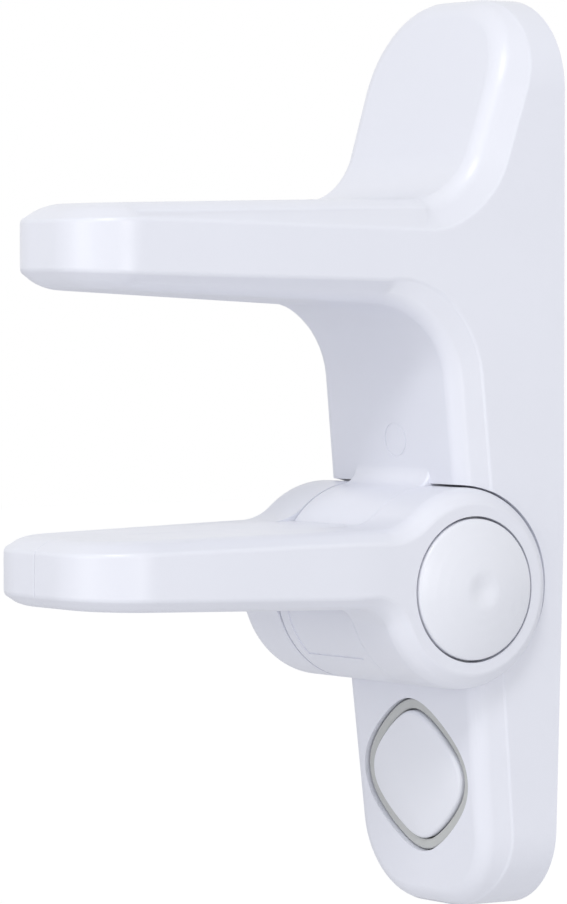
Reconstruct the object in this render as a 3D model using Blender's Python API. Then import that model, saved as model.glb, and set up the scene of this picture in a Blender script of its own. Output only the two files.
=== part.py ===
# Child safety lock for a door lever. A base is stuck to the door, its upper arm is fixed, and its lower
# arm swings down once both round side buttons are squeezed, which frees the lever held between the arms.
# Metres. X runs right, -Y runs out from the door, Z runs up. The door is the plane Y = 0, so a depth is
# a distance out from the door, and outlines in side view are written as (depth, height) pairs.

import math

import bmesh
import bpy
from mathutils import Matrix, Vector

MM = 0.001

# Clearances
FIT = 0.3 * MM
RUNNING_GAP = 0.4 * MM
GROOVE_GAP = 0.5 * MM
SEAM_GAP = 0.2 * MM

# Base
BASE_HEIGHT = 190 * MM
BASE_HALF_WIDTH = 26 * MM
FOOT_HALF_WIDTH = 23.2 * MM
TAPER_RISE = 80 * MM
TOP_CORNER = 18 * MM
FOOT_CORNER = 17 * MM
TOP_DEPTH = 11.6 * MM
TOP_SLOPE = 0.325
FOOT_DEPTH = 17.4 * MM
FRONT_LEAN = 0.099
EDGE_FILLET = 5.4 * MM
WALL = 2.6 * MM
RIM = 1.4 * MM

# Upper arm, with heights above its own middle level
UPPER_DROP = 52.2 * MM
UPPER_REACH = 112.7 * MM
UPPER_TIP_HALF_WIDTH = 16.6 * MM
UPPER_TIP_CORNER = 13.5 * MM
UPPER_ROOT_TOP = 10.0 * MM
UPPER_ROOT_BOTTOM = -11.4 * MM
UPPER_TIP_TOP = 8.4 * MM
UPPER_TIP_BOTTOM = -8.2 * MM
UPPER_ROOT_DEPTH = 45 * MM
NECK_FILLET = 17 * MM
SHOULDER_FILLET = 14 * MM

# Hinge
HUB_DEPTH = 26.6 * MM
HUB_RISE = 68.1 * MM
HUB_RADIUS = 20.7 * MM
KNUCKLE_HALF = 12.8 * MM
KNUCKLE_TOP_FILLET = 5 * MM
KNUCKLE_LOW_FILLET = 1.6 * MM
RING_FACE = 28 * MM
BUTTON_TRAVEL = 3.2 * MM

# Lower arm, with heights above the hinge axis
LOWER_REACH = 115.4 * MM
LOWER_TIP_HALF_WIDTH = 21 * MM
LOWER_TIP_CORNER = 16 * MM
LOWER_ROOT_DEPTH = 50 * MM
LOWER_ROOT_TOP = 12.8 * MM
LOWER_ROOT_BOTTOM = -3.4 * MM
LOWER_TIP_TOP = 11.7 * MM
LOWER_TIP_BOTTOM = -2.0 * MM
LOWER_TAPER_DEPTH = 57 * MM
ARM_TOP_BLEND = 13 * MM
ARM_BOTTOM_BLEND = 7 * MM
ARM_FILLET = 4.4 * MM
ARM_WALL = 2.2 * MM
ARM_PEG_DEPTHS = (62 * MM, 82 * MM, 100 * MM)
ARM_PEG_RADIUS = 1.6 * MM
ARM_PEG_LENGTH = 4 * MM
ARM_BOSS_RADIUS = 3.4 * MM

# Hinge insides
AXLE_RADIUS = 3 * MM
AXLE_HALF = 22 * MM
SPLINE_TEETH = 12
SPLINE_ROOT = 7.6 * MM
SPLINE_TIP = 9.2 * MM
COLLAR_RADIUS = 13 * MM
COLLAR_LENGTH = 3 * MM
TOOTH_ROOT_SHARE = 0.32
TOOTH_TIP_SHARE = 0.2
PLATE_RADIUS = 17 * MM
PLATE_THICKNESS = 2.8 * MM
PLATE_LUGS = 4
PLATE_LUG_RADIUS = 18.3 * MM
GEAR_WIDTH = 4.5 * MM
GEAR_FLOOR = 1.5 * MM
GEAR_POCKET = 6 * MM
GEAR_SLEEVE_RADIUS = 5 * MM
GEAR_SLEEVE_LENGTH = 7.4 * MM
SPRING_RADIUS = 4.7 * MM
SPRING_WIRE = 0.45 * MM
SPRING_TURNS = 4

# Release buttons
BUTTON_RADIUS = 14.5 * MM
BUTTON_GAP = 0.5 * MM
BUTTON_CROWN = 3.3 * MM
BUTTON_EDGE = 0.4 * MM
BUTTON_FLANGE = 1.0 * MM
BUTTON_FLANGE_LENGTH = 1.8 * MM
BUTTON_LIP = 3.4 * MM
BUTTON_WALL = 1.8 * MM
DIMPLE_RADIUS = 3.6 * MM
DIMPLE_DEPTH = 0.7 * MM
DOME_SHARES = (0.5, 0.8)

# Decoy button, a rounded square standing on its corner
DECOY_RISE = 28 * MM
DECOY_HALF_WIDTH = 17 * MM
DECOY_HALF_HEIGHT = 16.2 * MM
DECOY_CORNER = 9.5 * MM
DECOY_RING_WIDTH = 2.1 * MM
DECOY_RING_SINK = 0.5 * MM
DECOY_FLANGE = 1.2 * MM
DECOY_FLANGE_THICKNESS = 1.4 * MM
DECOY_CROWN = 1.2 * MM
DECOY_EDGE_ROUND = 1.2 * MM
DECOY_DOME_INSET = 4 * MM
DECOY_CAP = 2.4 * MM
DECOY_SPRING_RADIUS = 5 * MM
DECOY_SPRING_TURNS = 4
DECOY_POST_RADIUS = 7 * MM
DECOY_POST_LENGTH = 3.5 * MM

# Back plate, screws and foam pads
PAD_THICKNESS = 1 * MM
PAD_HALF_WIDTH = 16.5 * MM
PAD_MARGIN = 25 * MM
PAD_GAP = 4 * MM
PAD_CORNER = 3 * MM
PLATE_DEPTH = 2 * MM
TOP_SCREW_X = 13 * MM
TOP_SCREW_DROP = 17 * MM
SIDE_SCREW_X = 20.2 * MM
SIDE_SCREW_Z = 10 * MM
FOOT_SCREW_X = 13.5 * MM
FOOT_SCREW_RISE = 13.5 * MM
SCREW_HEAD_RADIUS = 2.9 * MM
SCREW_HEAD_HEIGHT = 1.5 * MM
SCREW_RADIUS = 1.3 * MM
SCREW_LENGTH = 9 * MM
SCREW_GAP = 0.3 * MM
BOSS_RADIUS = 3.4 * MM

# Smoothness of the solids
ARC_STEP = math.radians(15)
ROUND_SIDES = 32
SMALL_SIDES = 16
FILLET_STEPS = 3
WELD = 0.002 * MM

# Sizes that follow from the ones above
Z_TOP = BASE_HEIGHT / 2
Z_FOOT = -BASE_HEIGHT / 2
TAPER_START_Z = Z_FOOT + TAPER_RISE
UPPER_LEVEL = Z_TOP - UPPER_DROP
HUB_Z = Z_FOOT + HUB_RISE
DECOY_Z = Z_FOOT + DECOY_RISE
PAD_HEIGHT = (BASE_HEIGHT - 2 * PAD_MARGIN - 2 * PAD_GAP) / 3
PAD_PITCH = PAD_HEIGHT + PAD_GAP
BACK_DEPTH = PAD_THICKNESS + FIT
TRIM = 12 * MM
RING_INNER_X = KNUCKLE_HALF + FIT
GROOVE_RADIUS = HUB_RADIUS + GROOVE_GAP
SLAB_CUT_RADIUS = HUB_RADIUS + RUNNING_GAP
HUB = Vector((HUB_DEPTH, HUB_Z))
HUB_POINT = Vector((0, -HUB_DEPTH, HUB_Z))
COLLAR_END = RING_INNER_X - COLLAR_LENGTH
COUNTERBORE_END = COLLAR_END - FIT
PLATE_END = RING_INNER_X + PLATE_THICKNESS
GEAR_OUTER = COLLAR_END - RUNNING_GAP
GEAR_INNER = GEAR_OUTER - GEAR_WIDTH
WEB_FACE = GEAR_INNER - BUTTON_TRAVEL - GROOVE_GAP
SLEEVE_END = GEAR_OUTER + GEAR_SLEEVE_LENGTH
BUTTON_STOP = RING_FACE - BUTTON_LIP
BUTTON_BORE = BUTTON_RADIUS + BUTTON_GAP
FLANGE_RADIUS = BUTTON_RADIUS + BUTTON_FLANGE
FRONT_NORMAL = Vector((1, -FRONT_LEAN)).normalized()
FRONT_LEAN_ANGLE = math.atan(FRONT_LEAN)


# Plane geometry

def span(side, near, far):
    return sorted((side * near, side * far))


def front_depth(z):
    return FOOT_DEPTH + FRONT_LEAN * (z - Z_FOOT)


def crossing(p, along_p, q, along_q):
    p, along_p, q, along_q = Vector(p), Vector(along_p), Vector(q), Vector(along_q)
    return p + along_p * ((q - p).cross(along_q) / along_p.cross(along_q))


def arc(centre, radius, start, end):
    steps = max(2, round(abs(end - start) / ARC_STEP))
    angles = [start + (end - start) * i / steps for i in range(steps + 1)]
    return [Vector(centre) + radius * Vector((math.cos(a), math.sin(a))) for a in angles]


def arc_between(centre, start, end, turn):
    a = math.atan2(start[1] - centre[1], start[0] - centre[0])
    b = math.atan2(end[1] - centre[1], end[0] - centre[0])
    sweep = (b - a) * turn % (2 * math.pi)
    return arc(centre, (Vector(start) - Vector(centre)).length, a, a + turn * sweep)


def inset_corners(corners, inset):
    points = [Vector(c[:2]) for c in corners]
    area = sum(p.cross(q) for p, q in zip(points, points[1:] + points[:1]))
    inward = 1 if area > 0 else -1
    result = []
    for i, point in enumerate(points):
        before = (point - points[i - 1]).normalized()
        after = (points[(i + 1) % len(points)] - point).normalized()
        side_before = Vector((-before.y, before.x)) * inward * inset
        side_after = Vector((-after.y, after.x)) * inward * inset
        moved = crossing(point + side_before, before, point + side_after, after)
        convex = before.cross(after) * inward > 0
        radius = corners[i][2]
        if radius:
            radius = max(radius - inset, 0) if convex else radius + inset
        result.append((moved.x, moved.y, radius))
    return result


def rounded(corners):
    outline = []
    for i, (u, v, radius) in enumerate(corners):
        point = Vector((u, v))
        if not radius:
            outline.append(point)
            continue
        to_before = (Vector(corners[i - 1][:2]) - point).normalized()
        to_after = (Vector(corners[(i + 1) % len(corners)][:2]) - point).normalized()
        half = to_before.angle(to_after) / 2
        centre = point + (to_before + to_after).normalized() * (radius / math.sin(half))
        start = point + to_before * (radius / math.tan(half))
        end = point + to_after * (radius / math.tan(half))
        turn = 1 if to_before.cross(to_after) < 0 else -1
        outline += arc_between(centre, start, end, turn)
    return outline


def hub_blend(point, along, free_side, radius, first):
    # the circle of a fillet between a straight line and the hinge's round
    along = Vector(along).normalized()
    offset = Vector(point) + Vector(free_side) * radius - HUB
    half_b = offset.dot(along)
    root = math.sqrt(half_b ** 2 - offset.length_squared + (HUB_RADIUS + radius) ** 2)
    shift = -half_b - root if first else -half_b + root
    centre = HUB + offset + along * shift
    on_line = centre - Vector(free_side) * radius
    on_hub = HUB + (centre - HUB) * (HUB_RADIUS / (HUB_RADIUS + radius))
    return centre, on_line, on_hub


def toothed(count, root, tip, gap=0):
    # an outline of straight teeth, widened all round by a gap
    outline = []
    pitch = 2 * math.pi / count
    shares = (
        (-TOOTH_ROOT_SHARE, root), (-TOOTH_TIP_SHARE, tip),
        (TOOTH_TIP_SHARE, tip), (TOOTH_ROOT_SHARE, root),
    )
    for i in range(count):
        for share, radius in shares:
            angle = pitch * (i + share) + math.copysign(gap / radius, share)
            reach = radius + gap
            outline.append(Vector((reach * math.cos(angle), reach * math.sin(angle))))
    return outline


def diamond(half_width, half_height, corner):
    return rounded([
        (half_width, 0, corner),
        (0, half_height, corner),
        (-half_width, 0, corner),
        (0, -half_height, corner),
    ])


def decoy_outline(inset):
    # each side moves in by the inset, so every corner moves in by more than that
    side = math.hypot(DECOY_HALF_WIDTH, DECOY_HALF_HEIGHT)
    sharp = DECOY_CORNER * (side / DECOY_HALF_WIDTH - 1)
    width = DECOY_HALF_WIDTH + sharp - inset * side / DECOY_HALF_HEIGHT
    height = DECOY_HALF_HEIGHT + sharp - inset * side / DECOY_HALF_WIDTH
    return diamond(width, height, DECOY_CORNER - inset)


# Meshes

SIDE_VIEW = Matrix(((0, 0, 1, 0), (-1, 0, 0, 0), (0, 1, 0, 0), (0, 0, 0, 1)))
PLAN_VIEW = Matrix(((1, 0, 0, 0), (0, -1, 0, 0), (0, 0, 1, 0), (0, 0, 0, 1)))
FRONT_VIEW = Matrix(((1, 0, 0, 0), (0, 0, -1, 0), (0, 1, 0, 0), (0, 0, 0, 1)))
HUB_VIEW = Matrix.Translation(HUB_POINT) @ SIDE_VIEW
DECOY_VIEW = (
    Matrix.Translation((0, -front_depth(DECOY_Z), DECOY_Z))
    @ Matrix.Rotation(FRONT_LEAN_ANGLE, 4, 'X')
    @ FRONT_VIEW
)


def new_object(name, bm):
    mesh = bpy.data.meshes.new(name)
    bmesh.ops.recalc_face_normals(bm, faces=bm.faces)
    bm.to_mesh(mesh)
    bm.free()
    obj = bpy.data.objects.new(name, mesh)
    bpy.context.scene.collection.objects.link(obj)
    return obj


def prism(outline, view, low, high, name="cutter"):
    bm = bmesh.new()
    face = bm.faces.new([bm.verts.new((u, v, low)) for u, v in outline])
    raised = bmesh.ops.extrude_face_region(bm, geom=[face])
    tops = [e for e in raised["geom"] if isinstance(e, bmesh.types.BMVert)]
    bmesh.ops.translate(bm, verts=tops, vec=(0, 0, high - low))
    bmesh.ops.transform(bm, matrix=view, verts=bm.verts)
    return new_object(name, bm)


def circle(radius, sides):
    return [
        Vector((radius * math.cos(2 * math.pi * i / sides), radius * math.sin(2 * math.pi * i / sides)))
        for i in range(sides)
    ]


def disc(radius, view, low, high, sides=ROUND_SIDES, name="cutter"):
    return prism(circle(radius, sides), view, low, high, name)


def turned(profile, view, sides, name="cutter"):
    # a closed profile of (radius, height) pairs spun about the view's depth axis
    bm = bmesh.new()
    verts = [bm.verts.new((r, 0, h)) for r, h in profile]
    pairs = [(verts[i - 1], verts[i]) for i in range(len(verts))]
    edges = [bm.edges.new(pair) for pair in pairs if pair[0].co.x + pair[1].co.x > 0]
    bmesh.ops.spin(
        bm, geom=verts + edges, cent=(0, 0, 0), axis=(0, 0, 1),
        angle=2 * math.pi, steps=sides, use_merge=True,
    )
    bmesh.ops.remove_doubles(bm, verts=bm.verts, dist=WELD)
    bmesh.ops.dissolve_degenerate(bm, edges=bm.edges, dist=WELD)
    bmesh.ops.transform(bm, matrix=view, verts=bm.verts)
    return new_object(name, bm)


def combine(target, tools, operation):
    # one Boolean with all the tools at once, then a weld of the points it leaves too close together
    group = bpy.data.collections.new("tools")
    for tool in tools:
        group.objects.link(tool)
    modifier = target.modifiers.new(operation.lower(), 'BOOLEAN')
    modifier.operation = operation
    modifier.solver = 'EXACT'
    modifier.operand_type = 'COLLECTION'
    modifier.collection = group
    graph = bpy.context.evaluated_depsgraph_get()
    mesh = bpy.data.meshes.new_from_object(target.evaluated_get(graph))
    target.modifiers.clear()
    target.data = mesh
    for tool in tools:
        bpy.data.objects.remove(tool)
    bpy.data.collections.remove(group)
    bm = bmesh.new()
    bm.from_mesh(mesh)
    bmesh.ops.remove_doubles(bm, verts=bm.verts, dist=WELD)
    bmesh.ops.dissolve_degenerate(bm, edges=bm.edges, dist=WELD)
    bm.to_mesh(mesh)
    bm.free()
    return target


def cut(target, *tools):
    return combine(target, tools, 'DIFFERENCE')


def join(target, *tools):
    return combine(target, tools, 'UNION')


def common(first, *others):
    for other in others:
        combine(first, [other], 'INTERSECT')
    return first


def duplicate(obj):
    copy = bpy.data.objects.new(obj.name, obj.data.copy())
    bpy.context.scene.collection.objects.link(copy)
    return copy


def fillet_edges(obj, radius):
    bm = bmesh.new()
    bm.from_mesh(obj.data)
    bmesh.ops.dissolve_limit(bm, angle_limit=math.radians(0.5), verts=bm.verts, edges=bm.edges)
    sharp = [e for e in bm.edges if e.is_manifold and e.calc_face_angle_signed() > math.radians(40)]
    bmesh.ops.bevel(
        bm, geom=sharp, offset=radius, offset_type='OFFSET', segments=FILLET_STEPS, profile=0.5,
        affect='EDGES', clamp_overlap=False, material=-1,
    )
    bmesh.ops.remove_doubles(bm, verts=bm.verts, dist=WELD)
    bm.to_mesh(obj.data)
    bm.free()
    return obj


def finish(obj, name, material, pivot=None, parent=None):
    obj.name = name
    obj.data.name = name
    obj.data.materials.clear()
    obj.data.materials.append(material)
    obj.data.shade_smooth()
    obj.data.set_sharp_from_angle(angle=math.radians(35))
    if pivot is not None:
        obj.data.transform(Matrix.Translation(-pivot))
        obj.location = pivot
    if parent is not None:
        obj.parent = parent
        obj.location = obj.location - parent.location
    return obj


def coil(name, material, view, radius, wire, turns, start, end):
    # an open spring: a helix between two heights in the view
    curve = bpy.data.curves.new(name, 'CURVE')
    curve.dimensions = '3D'
    curve.bevel_depth = wire
    curve.bevel_resolution = 1
    curve.use_fill_caps = True
    count = turns * 9
    spline = curve.splines.new('POLY')
    spline.points.add(count)
    low, high = sorted((start, end))
    for i, point in enumerate(spline.points):
        angle = 2 * math.pi * turns * i / count
        height = low + wire + (high - low - 2 * wire) * i / count
        place = view @ Vector((radius * math.cos(angle), radius * math.sin(angle), height))
        point.co = (*place, 1)
    curve.materials.append(material)
    obj = bpy.data.objects.new(name, curve)
    bpy.context.scene.collection.objects.link(obj)
    return obj


def plastic(name, colour, roughness, metallic=0.0):
    material = bpy.data.materials.new(name)
    material.use_nodes = True
    shader = material.node_tree.nodes["Principled BSDF"]
    shader.inputs["Base Color"].default_value = (*colour, 1)
    shader.inputs["Roughness"].default_value = roughness
    shader.inputs["Metallic"].default_value = metallic
    return material


# Base housing with the upper arm and the fixed knuckle

def base_side_corners():
    front = (FOOT_DEPTH, Z_FOOT)
    along_front = (FRONT_LEAN, 1)
    root_bottom = (UPPER_ROOT_DEPTH, UPPER_LEVEL + UPPER_ROOT_BOTTOM)
    root_top = (UPPER_ROOT_DEPTH, UPPER_LEVEL + UPPER_ROOT_TOP)
    along_bottom = (UPPER_REACH - UPPER_ROOT_DEPTH, UPPER_TIP_BOTTOM - UPPER_ROOT_BOTTOM)
    along_top = (UPPER_REACH - UPPER_ROOT_DEPTH, UPPER_TIP_TOP - UPPER_ROOT_TOP)
    neck = crossing(front, along_front, root_bottom, along_bottom)
    shoulder = crossing((TOP_DEPTH, Z_TOP), (-TOP_SLOPE, 1), root_top, along_top)
    return [
        (-TRIM, Z_FOOT, 0),
        (FOOT_DEPTH, Z_FOOT, 0),
        (*neck, NECK_FILLET),
        (UPPER_REACH, UPPER_LEVEL + UPPER_TIP_BOTTOM, 0),
        (UPPER_REACH, UPPER_LEVEL + UPPER_TIP_TOP, 0),
        (*shoulder, SHOULDER_FILLET),
        (TOP_DEPTH, Z_TOP, 0),
        (-TRIM, Z_TOP, 0),
    ]


def base_plan_corners():
    draft = (BASE_HALF_WIDTH - UPPER_TIP_HALF_WIDTH) / UPPER_REACH
    back = BASE_HALF_WIDTH + draft * TRIM
    end = UPPER_REACH
    return [
        (-back, -TRIM, 0),
        (back, -TRIM, 0),
        (UPPER_TIP_HALF_WIDTH, end, UPPER_TIP_CORNER),
        (-UPPER_TIP_HALF_WIDTH, end, UPPER_TIP_CORNER),
    ]


def base_front_corners():
    return [
        (FOOT_HALF_WIDTH, Z_FOOT, FOOT_CORNER),
        (BASE_HALF_WIDTH, TAPER_START_Z, 0),
        (BASE_HALF_WIDTH, Z_TOP, TOP_CORNER),
        (-BASE_HALF_WIDTH, Z_TOP, TOP_CORNER),
        (-BASE_HALF_WIDTH, TAPER_START_Z, 0),
        (-FOOT_HALF_WIDTH, Z_FOOT, FOOT_CORNER),
    ]


def base_form(inset):
    side = rounded(inset_corners(base_side_corners(), inset))
    plan = rounded(inset_corners(base_plan_corners(), inset))
    front = rounded(inset_corners(base_front_corners(), inset))
    beyond = BASE_HEIGHT
    return common(
        prism(side, SIDE_VIEW, -beyond, beyond),
        prism(plan, PLAN_VIEW, -beyond, beyond),
        prism(front, FRONT_VIEW, -beyond, beyond),
    )


def knuckle_form():
    front = (FOOT_DEPTH, Z_FOOT)
    along = (FRONT_LEAN, 1)
    low_centre, low_line, low_hub = hub_blend(front, along, FRONT_NORMAL, KNUCKLE_LOW_FILLET, True)
    top_centre, top_line, top_hub = hub_blend(front, along, FRONT_NORMAL, KNUCKLE_TOP_FILLET, False)
    outline = arc_between(top_centre, top_line, top_hub, 1)
    outline += arc_between(HUB, top_hub, low_hub, -1)[1:-1]
    outline += arc_between(low_centre, low_hub, low_line, 1)
    sink = Vector((HUB_RADIUS / 2, 0))
    outline += [low_line - sink, top_line - sink]
    return prism(outline, SIDE_VIEW, -KNUCKLE_HALF, KNUCKLE_HALF)


def screw_spots():
    places = (
        (TOP_SCREW_X, Z_TOP - TOP_SCREW_DROP),
        (SIDE_SCREW_X, SIDE_SCREW_Z),
        (FOOT_SCREW_X, Z_FOOT + FOOT_SCREW_RISE),
    )
    return [(side * x, z) for x, z in places for side in (1, -1)]


def front_pin(x, z, radius, near, far, name="cutter"):
    # a round pin along the door's normal between two depths
    view = Matrix.Translation((x, 0, z)) @ FRONT_VIEW
    return disc(radius, view, near, far, SMALL_SIDES, name)


def housing_hollow():
    bosses = [
        front_pin(x, z, BOSS_RADIUS, BACK_DEPTH + PLATE_DEPTH / 2, UPPER_REACH) for x, z in screw_spots()
    ]
    jacket = disc(GROOVE_RADIUS + WALL, HUB_VIEW, -BASE_HEIGHT, BASE_HEIGHT)
    return cut(base_form(WALL), jacket, *bosses)


def build_base_housing(material):
    body = join(fillet_edges(base_form(0), EDGE_FILLET), knuckle_form())
    seat = rounded(inset_corners(base_front_corners(), RIM))
    beyond = rounded(inset_corners(base_front_corners(), -TRIM))
    spline = toothed(SPLINE_TEETH, SPLINE_ROOT, SPLINE_TIP, FIT)
    tools = [
        housing_hollow(),
        prism(seat, FRONT_VIEW, -TRIM, BACK_DEPTH + PLATE_DEPTH + FIT),
        prism(beyond, FRONT_VIEW, -2 * TRIM, BACK_DEPTH),
        disc(AXLE_RADIUS + FIT, HUB_VIEW, -KNUCKLE_HALF, KNUCKLE_HALF, SMALL_SIDES),
        prism(decoy_outline(-FIT), DECOY_VIEW, -2 * WALL, TRIM),
    ]
    for x, z in screw_spots():
        tools.append(front_pin(x, z, SCREW_RADIUS + SCREW_GAP, 0, BACK_DEPTH + SCREW_LENGTH + FIT))
    for side in (1, -1):
        tools += [
            disc(GROOVE_RADIUS, HUB_VIEW, *span(side, KNUCKLE_HALF + FIT / 3, BASE_HEIGHT)),
            prism(spline, HUB_VIEW, *span(side, WEB_FACE, RING_FACE)),
            disc(COLLAR_RADIUS + FIT, HUB_VIEW, *span(side, COUNTERBORE_END, RING_FACE)),
        ]
    cut(body, *tools)
    return finish(body, "base_housing", material)


def build_back_plate(material):
    outline = rounded(inset_corners(base_front_corners(), RIM + FIT))
    plate = prism(outline, FRONT_VIEW, BACK_DEPTH, BACK_DEPTH + PLATE_DEPTH)
    post_start = BACK_DEPTH + PLATE_DEPTH / 2
    axis_z = DECOY_Z + FRONT_LEAN * (front_depth(DECOY_Z) - post_start)
    join(plate, front_pin(0, axis_z, DECOY_POST_RADIUS, post_start, post_start + DECOY_POST_LENGTH))
    holes = []
    for x, z in screw_spots():
        view = Matrix.Translation((x, 0, z)) @ FRONT_VIEW
        head = SCREW_HEAD_RADIUS + SCREW_GAP
        shank = SCREW_RADIUS + SCREW_GAP
        profile = [
            (0, BACK_DEPTH + TRIM), (shank, BACK_DEPTH + TRIM),
            (shank, BACK_DEPTH + SCREW_HEAD_HEIGHT + SCREW_GAP), (head, BACK_DEPTH + FIT + SCREW_GAP),
            (head, 0), (0, 0),
        ]
        holes.append(turned(profile, view, SMALL_SIDES))
    cut(plate, *holes)
    return finish(plate, "back_plate", material)


def build_back_screw(number, x, z, material):
    view = Matrix.Translation((x, 0, z)) @ FRONT_VIEW
    start = BACK_DEPTH
    profile = [
        (0, start + SCREW_LENGTH), (SCREW_RADIUS, start + SCREW_LENGTH - SCREW_RADIUS),
        (SCREW_RADIUS, start + SCREW_HEAD_HEIGHT), (SCREW_HEAD_RADIUS, start + FIT),
        (SCREW_HEAD_RADIUS, start), (0, start),
    ]
    screw = turned(profile, view, SMALL_SIDES)
    return finish(screw, f"back_screw_{number}", material)


def build_pad(name, z, material):
    outline = rounded([
        (PAD_HALF_WIDTH, z - PAD_HEIGHT / 2, PAD_CORNER),
        (PAD_HALF_WIDTH, z + PAD_HEIGHT / 2, PAD_CORNER),
        (-PAD_HALF_WIDTH, z + PAD_HEIGHT / 2, PAD_CORNER),
        (-PAD_HALF_WIDTH, z - PAD_HEIGHT / 2, PAD_CORNER),
    ])
    return finish(prism(outline, FRONT_VIEW, 0, PAD_THICKNESS), name, material)


# Lower arm

def arm_lines():
    tip_top = Vector((LOWER_REACH, HUB_Z + LOWER_TIP_TOP))
    tip_bottom = Vector((LOWER_REACH, HUB_Z + LOWER_TIP_BOTTOM))
    root_top = Vector((LOWER_ROOT_DEPTH, HUB_Z + LOWER_ROOT_TOP))
    root_bottom = Vector((LOWER_ROOT_DEPTH, HUB_Z + LOWER_ROOT_BOTTOM))
    return tip_top, root_top, tip_bottom, root_bottom


def arm_side_outline():
    tip_top, root_top, tip_bottom, root_bottom = arm_lines()
    along_top = (root_top - tip_top).normalized()
    along_bottom = (root_bottom - tip_bottom).normalized()
    above = Vector((along_top.y, -along_top.x))
    below = Vector((-along_bottom.y, along_bottom.x))
    top_centre, top_line, top_hub = hub_blend(tip_top, along_top, above, ARM_TOP_BLEND, True)
    low_centre, low_line, low_hub = hub_blend(tip_bottom, along_bottom, below, ARM_BOTTOM_BLEND, True)
    outline = [tip_bottom, tip_top]
    outline += arc_between(top_centre, top_line, top_hub, -1)
    outline += arc_between(HUB, top_hub, low_hub, 1)[1:-1]
    outline += arc_between(low_centre, low_hub, low_line, -1)
    return outline


def arm_plan_corners():
    return [
        (-RING_FACE, -TRIM, 0),
        (RING_FACE, -TRIM, 0),
        (RING_FACE, LOWER_TAPER_DEPTH, 0),
        (LOWER_TIP_HALF_WIDTH, LOWER_REACH, LOWER_TIP_CORNER),
        (-LOWER_TIP_HALF_WIDTH, LOWER_REACH, LOWER_TIP_CORNER),
        (-RING_FACE, LOWER_TAPER_DEPTH, 0),
    ]


def arm_form():
    form = common(
        prism(arm_side_outline(), SIDE_VIEW, -BASE_HEIGHT, BASE_HEIGHT),
        prism(rounded(arm_plan_corners()), PLAN_VIEW, -BASE_HEIGHT, BASE_HEIGHT),
    )
    return fillet_edges(form, ARM_FILLET)


def middle_gap():
    # between the rings only the slab itself reaches back to the fixed knuckle
    tip_top, root_top, tip_bottom, root_bottom = arm_lines()
    tools = [disc(SLAB_CUT_RADIUS, HUB_VIEW, -RING_INNER_X, RING_INNER_X)]
    front = HUB_DEPTH + HUB_RADIUS + ARM_TOP_BLEND
    back = HUB_DEPTH - HUB_RADIUS - TRIM
    for tip, root, turn in ((tip_top, root_top, 1), (tip_bottom, root_bottom, -1)):
        level = crossing(tip, root - tip, (front, 0), (0, 1))
        end = crossing(tip, root - tip, (back, 0), (0, 1))
        rise = Vector((0, turn * 2 * HUB_RADIUS))
        tools.append(prism([level, end, end + rise, level + rise], SIDE_VIEW, -RING_INNER_X, RING_INNER_X))
    low = HUB_Z - HUB_RADIUS
    high = HUB_Z + HUB_RADIUS
    box = [(back, low), (HUB_DEPTH, low), (HUB_DEPTH, high), (back, high)]
    tools.append(prism(box, SIDE_VIEW, -RING_INNER_X, RING_INNER_X))
    return tools


def arm_hollow():
    tip_top, root_top, tip_bottom, root_bottom = arm_lines()
    corners = [(*tip_bottom, 0), (*tip_top, 0), (*root_top, 0), (*root_bottom, 0)]
    hollow = common(
        prism(rounded(inset_corners(corners, ARM_WALL)), SIDE_VIEW, -BASE_HEIGHT, BASE_HEIGHT),
        prism(rounded(inset_corners(arm_plan_corners(), ARM_WALL)), PLAN_VIEW, -BASE_HEIGHT, BASE_HEIGHT),
    )
    return cut(hollow, disc(SLAB_CUT_RADIUS + ARM_WALL, HUB_VIEW, -BASE_HEIGHT, BASE_HEIGHT))


def peg_spots():
    tip_top, root_top, tip_bottom, root_bottom = arm_lines()
    spots = []
    for depth in ARM_PEG_DEPTHS:
        top = crossing(tip_top, root_top - tip_top, (depth, 0), (0, 1))
        bottom = crossing(tip_bottom, root_bottom - tip_bottom, (depth, 0), (0, 1))
        spots.append((top + bottom) / 2)
    return spots


def side_pin(spot, radius, side, near, far):
    view = Matrix.Translation((0, -spot[0], spot[1])) @ SIDE_VIEW
    return disc(radius, view, *span(side, near, far), SMALL_SIDES)


def build_arm_half(name, side, full_form, material, parent):
    bosses = [side_pin(spot, ARM_BOSS_RADIUS, 1, -BASE_HEIGHT, BASE_HEIGHT) for spot in peg_spots()]
    other_half = [
        (-TRIM, -BASE_HEIGHT), (2 * LOWER_REACH, -BASE_HEIGHT),
        (2 * LOWER_REACH, BASE_HEIGHT), (-TRIM, BASE_HEIGHT),
    ]
    seat = toothed(PLATE_LUGS, PLATE_RADIUS, PLATE_LUG_RADIUS, FIT)
    tools = middle_gap()
    tools += [
        cut(arm_hollow(), *bosses),
        prism(other_half, SIDE_VIEW, *span(side, SEAM_GAP / 2, -BASE_HEIGHT)),
        prism(seat, HUB_VIEW, *span(side, 0, PLATE_END + FIT)),
        disc(FLANGE_RADIUS + BUTTON_GAP, HUB_VIEW, *span(side, PLATE_END, BUTTON_STOP + FIT)),
        disc(BUTTON_BORE, HUB_VIEW, *span(side, PLATE_END, RING_FACE + TRIM)),
    ]
    if side < 0:
        reach = ARM_PEG_LENGTH + FIT
        tools += [side_pin(spot, ARM_PEG_RADIUS + FIT, side, -reach, reach) for spot in peg_spots()]
    body = cut(duplicate(full_form), *tools)
    if side > 0:
        reach = ARM_PEG_LENGTH
        join(body, *[side_pin(spot, ARM_PEG_RADIUS, side, -reach, reach) for spot in peg_spots()])
    return finish(body, name, material, HUB_POINT, parent)


# Hinge insides

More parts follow.
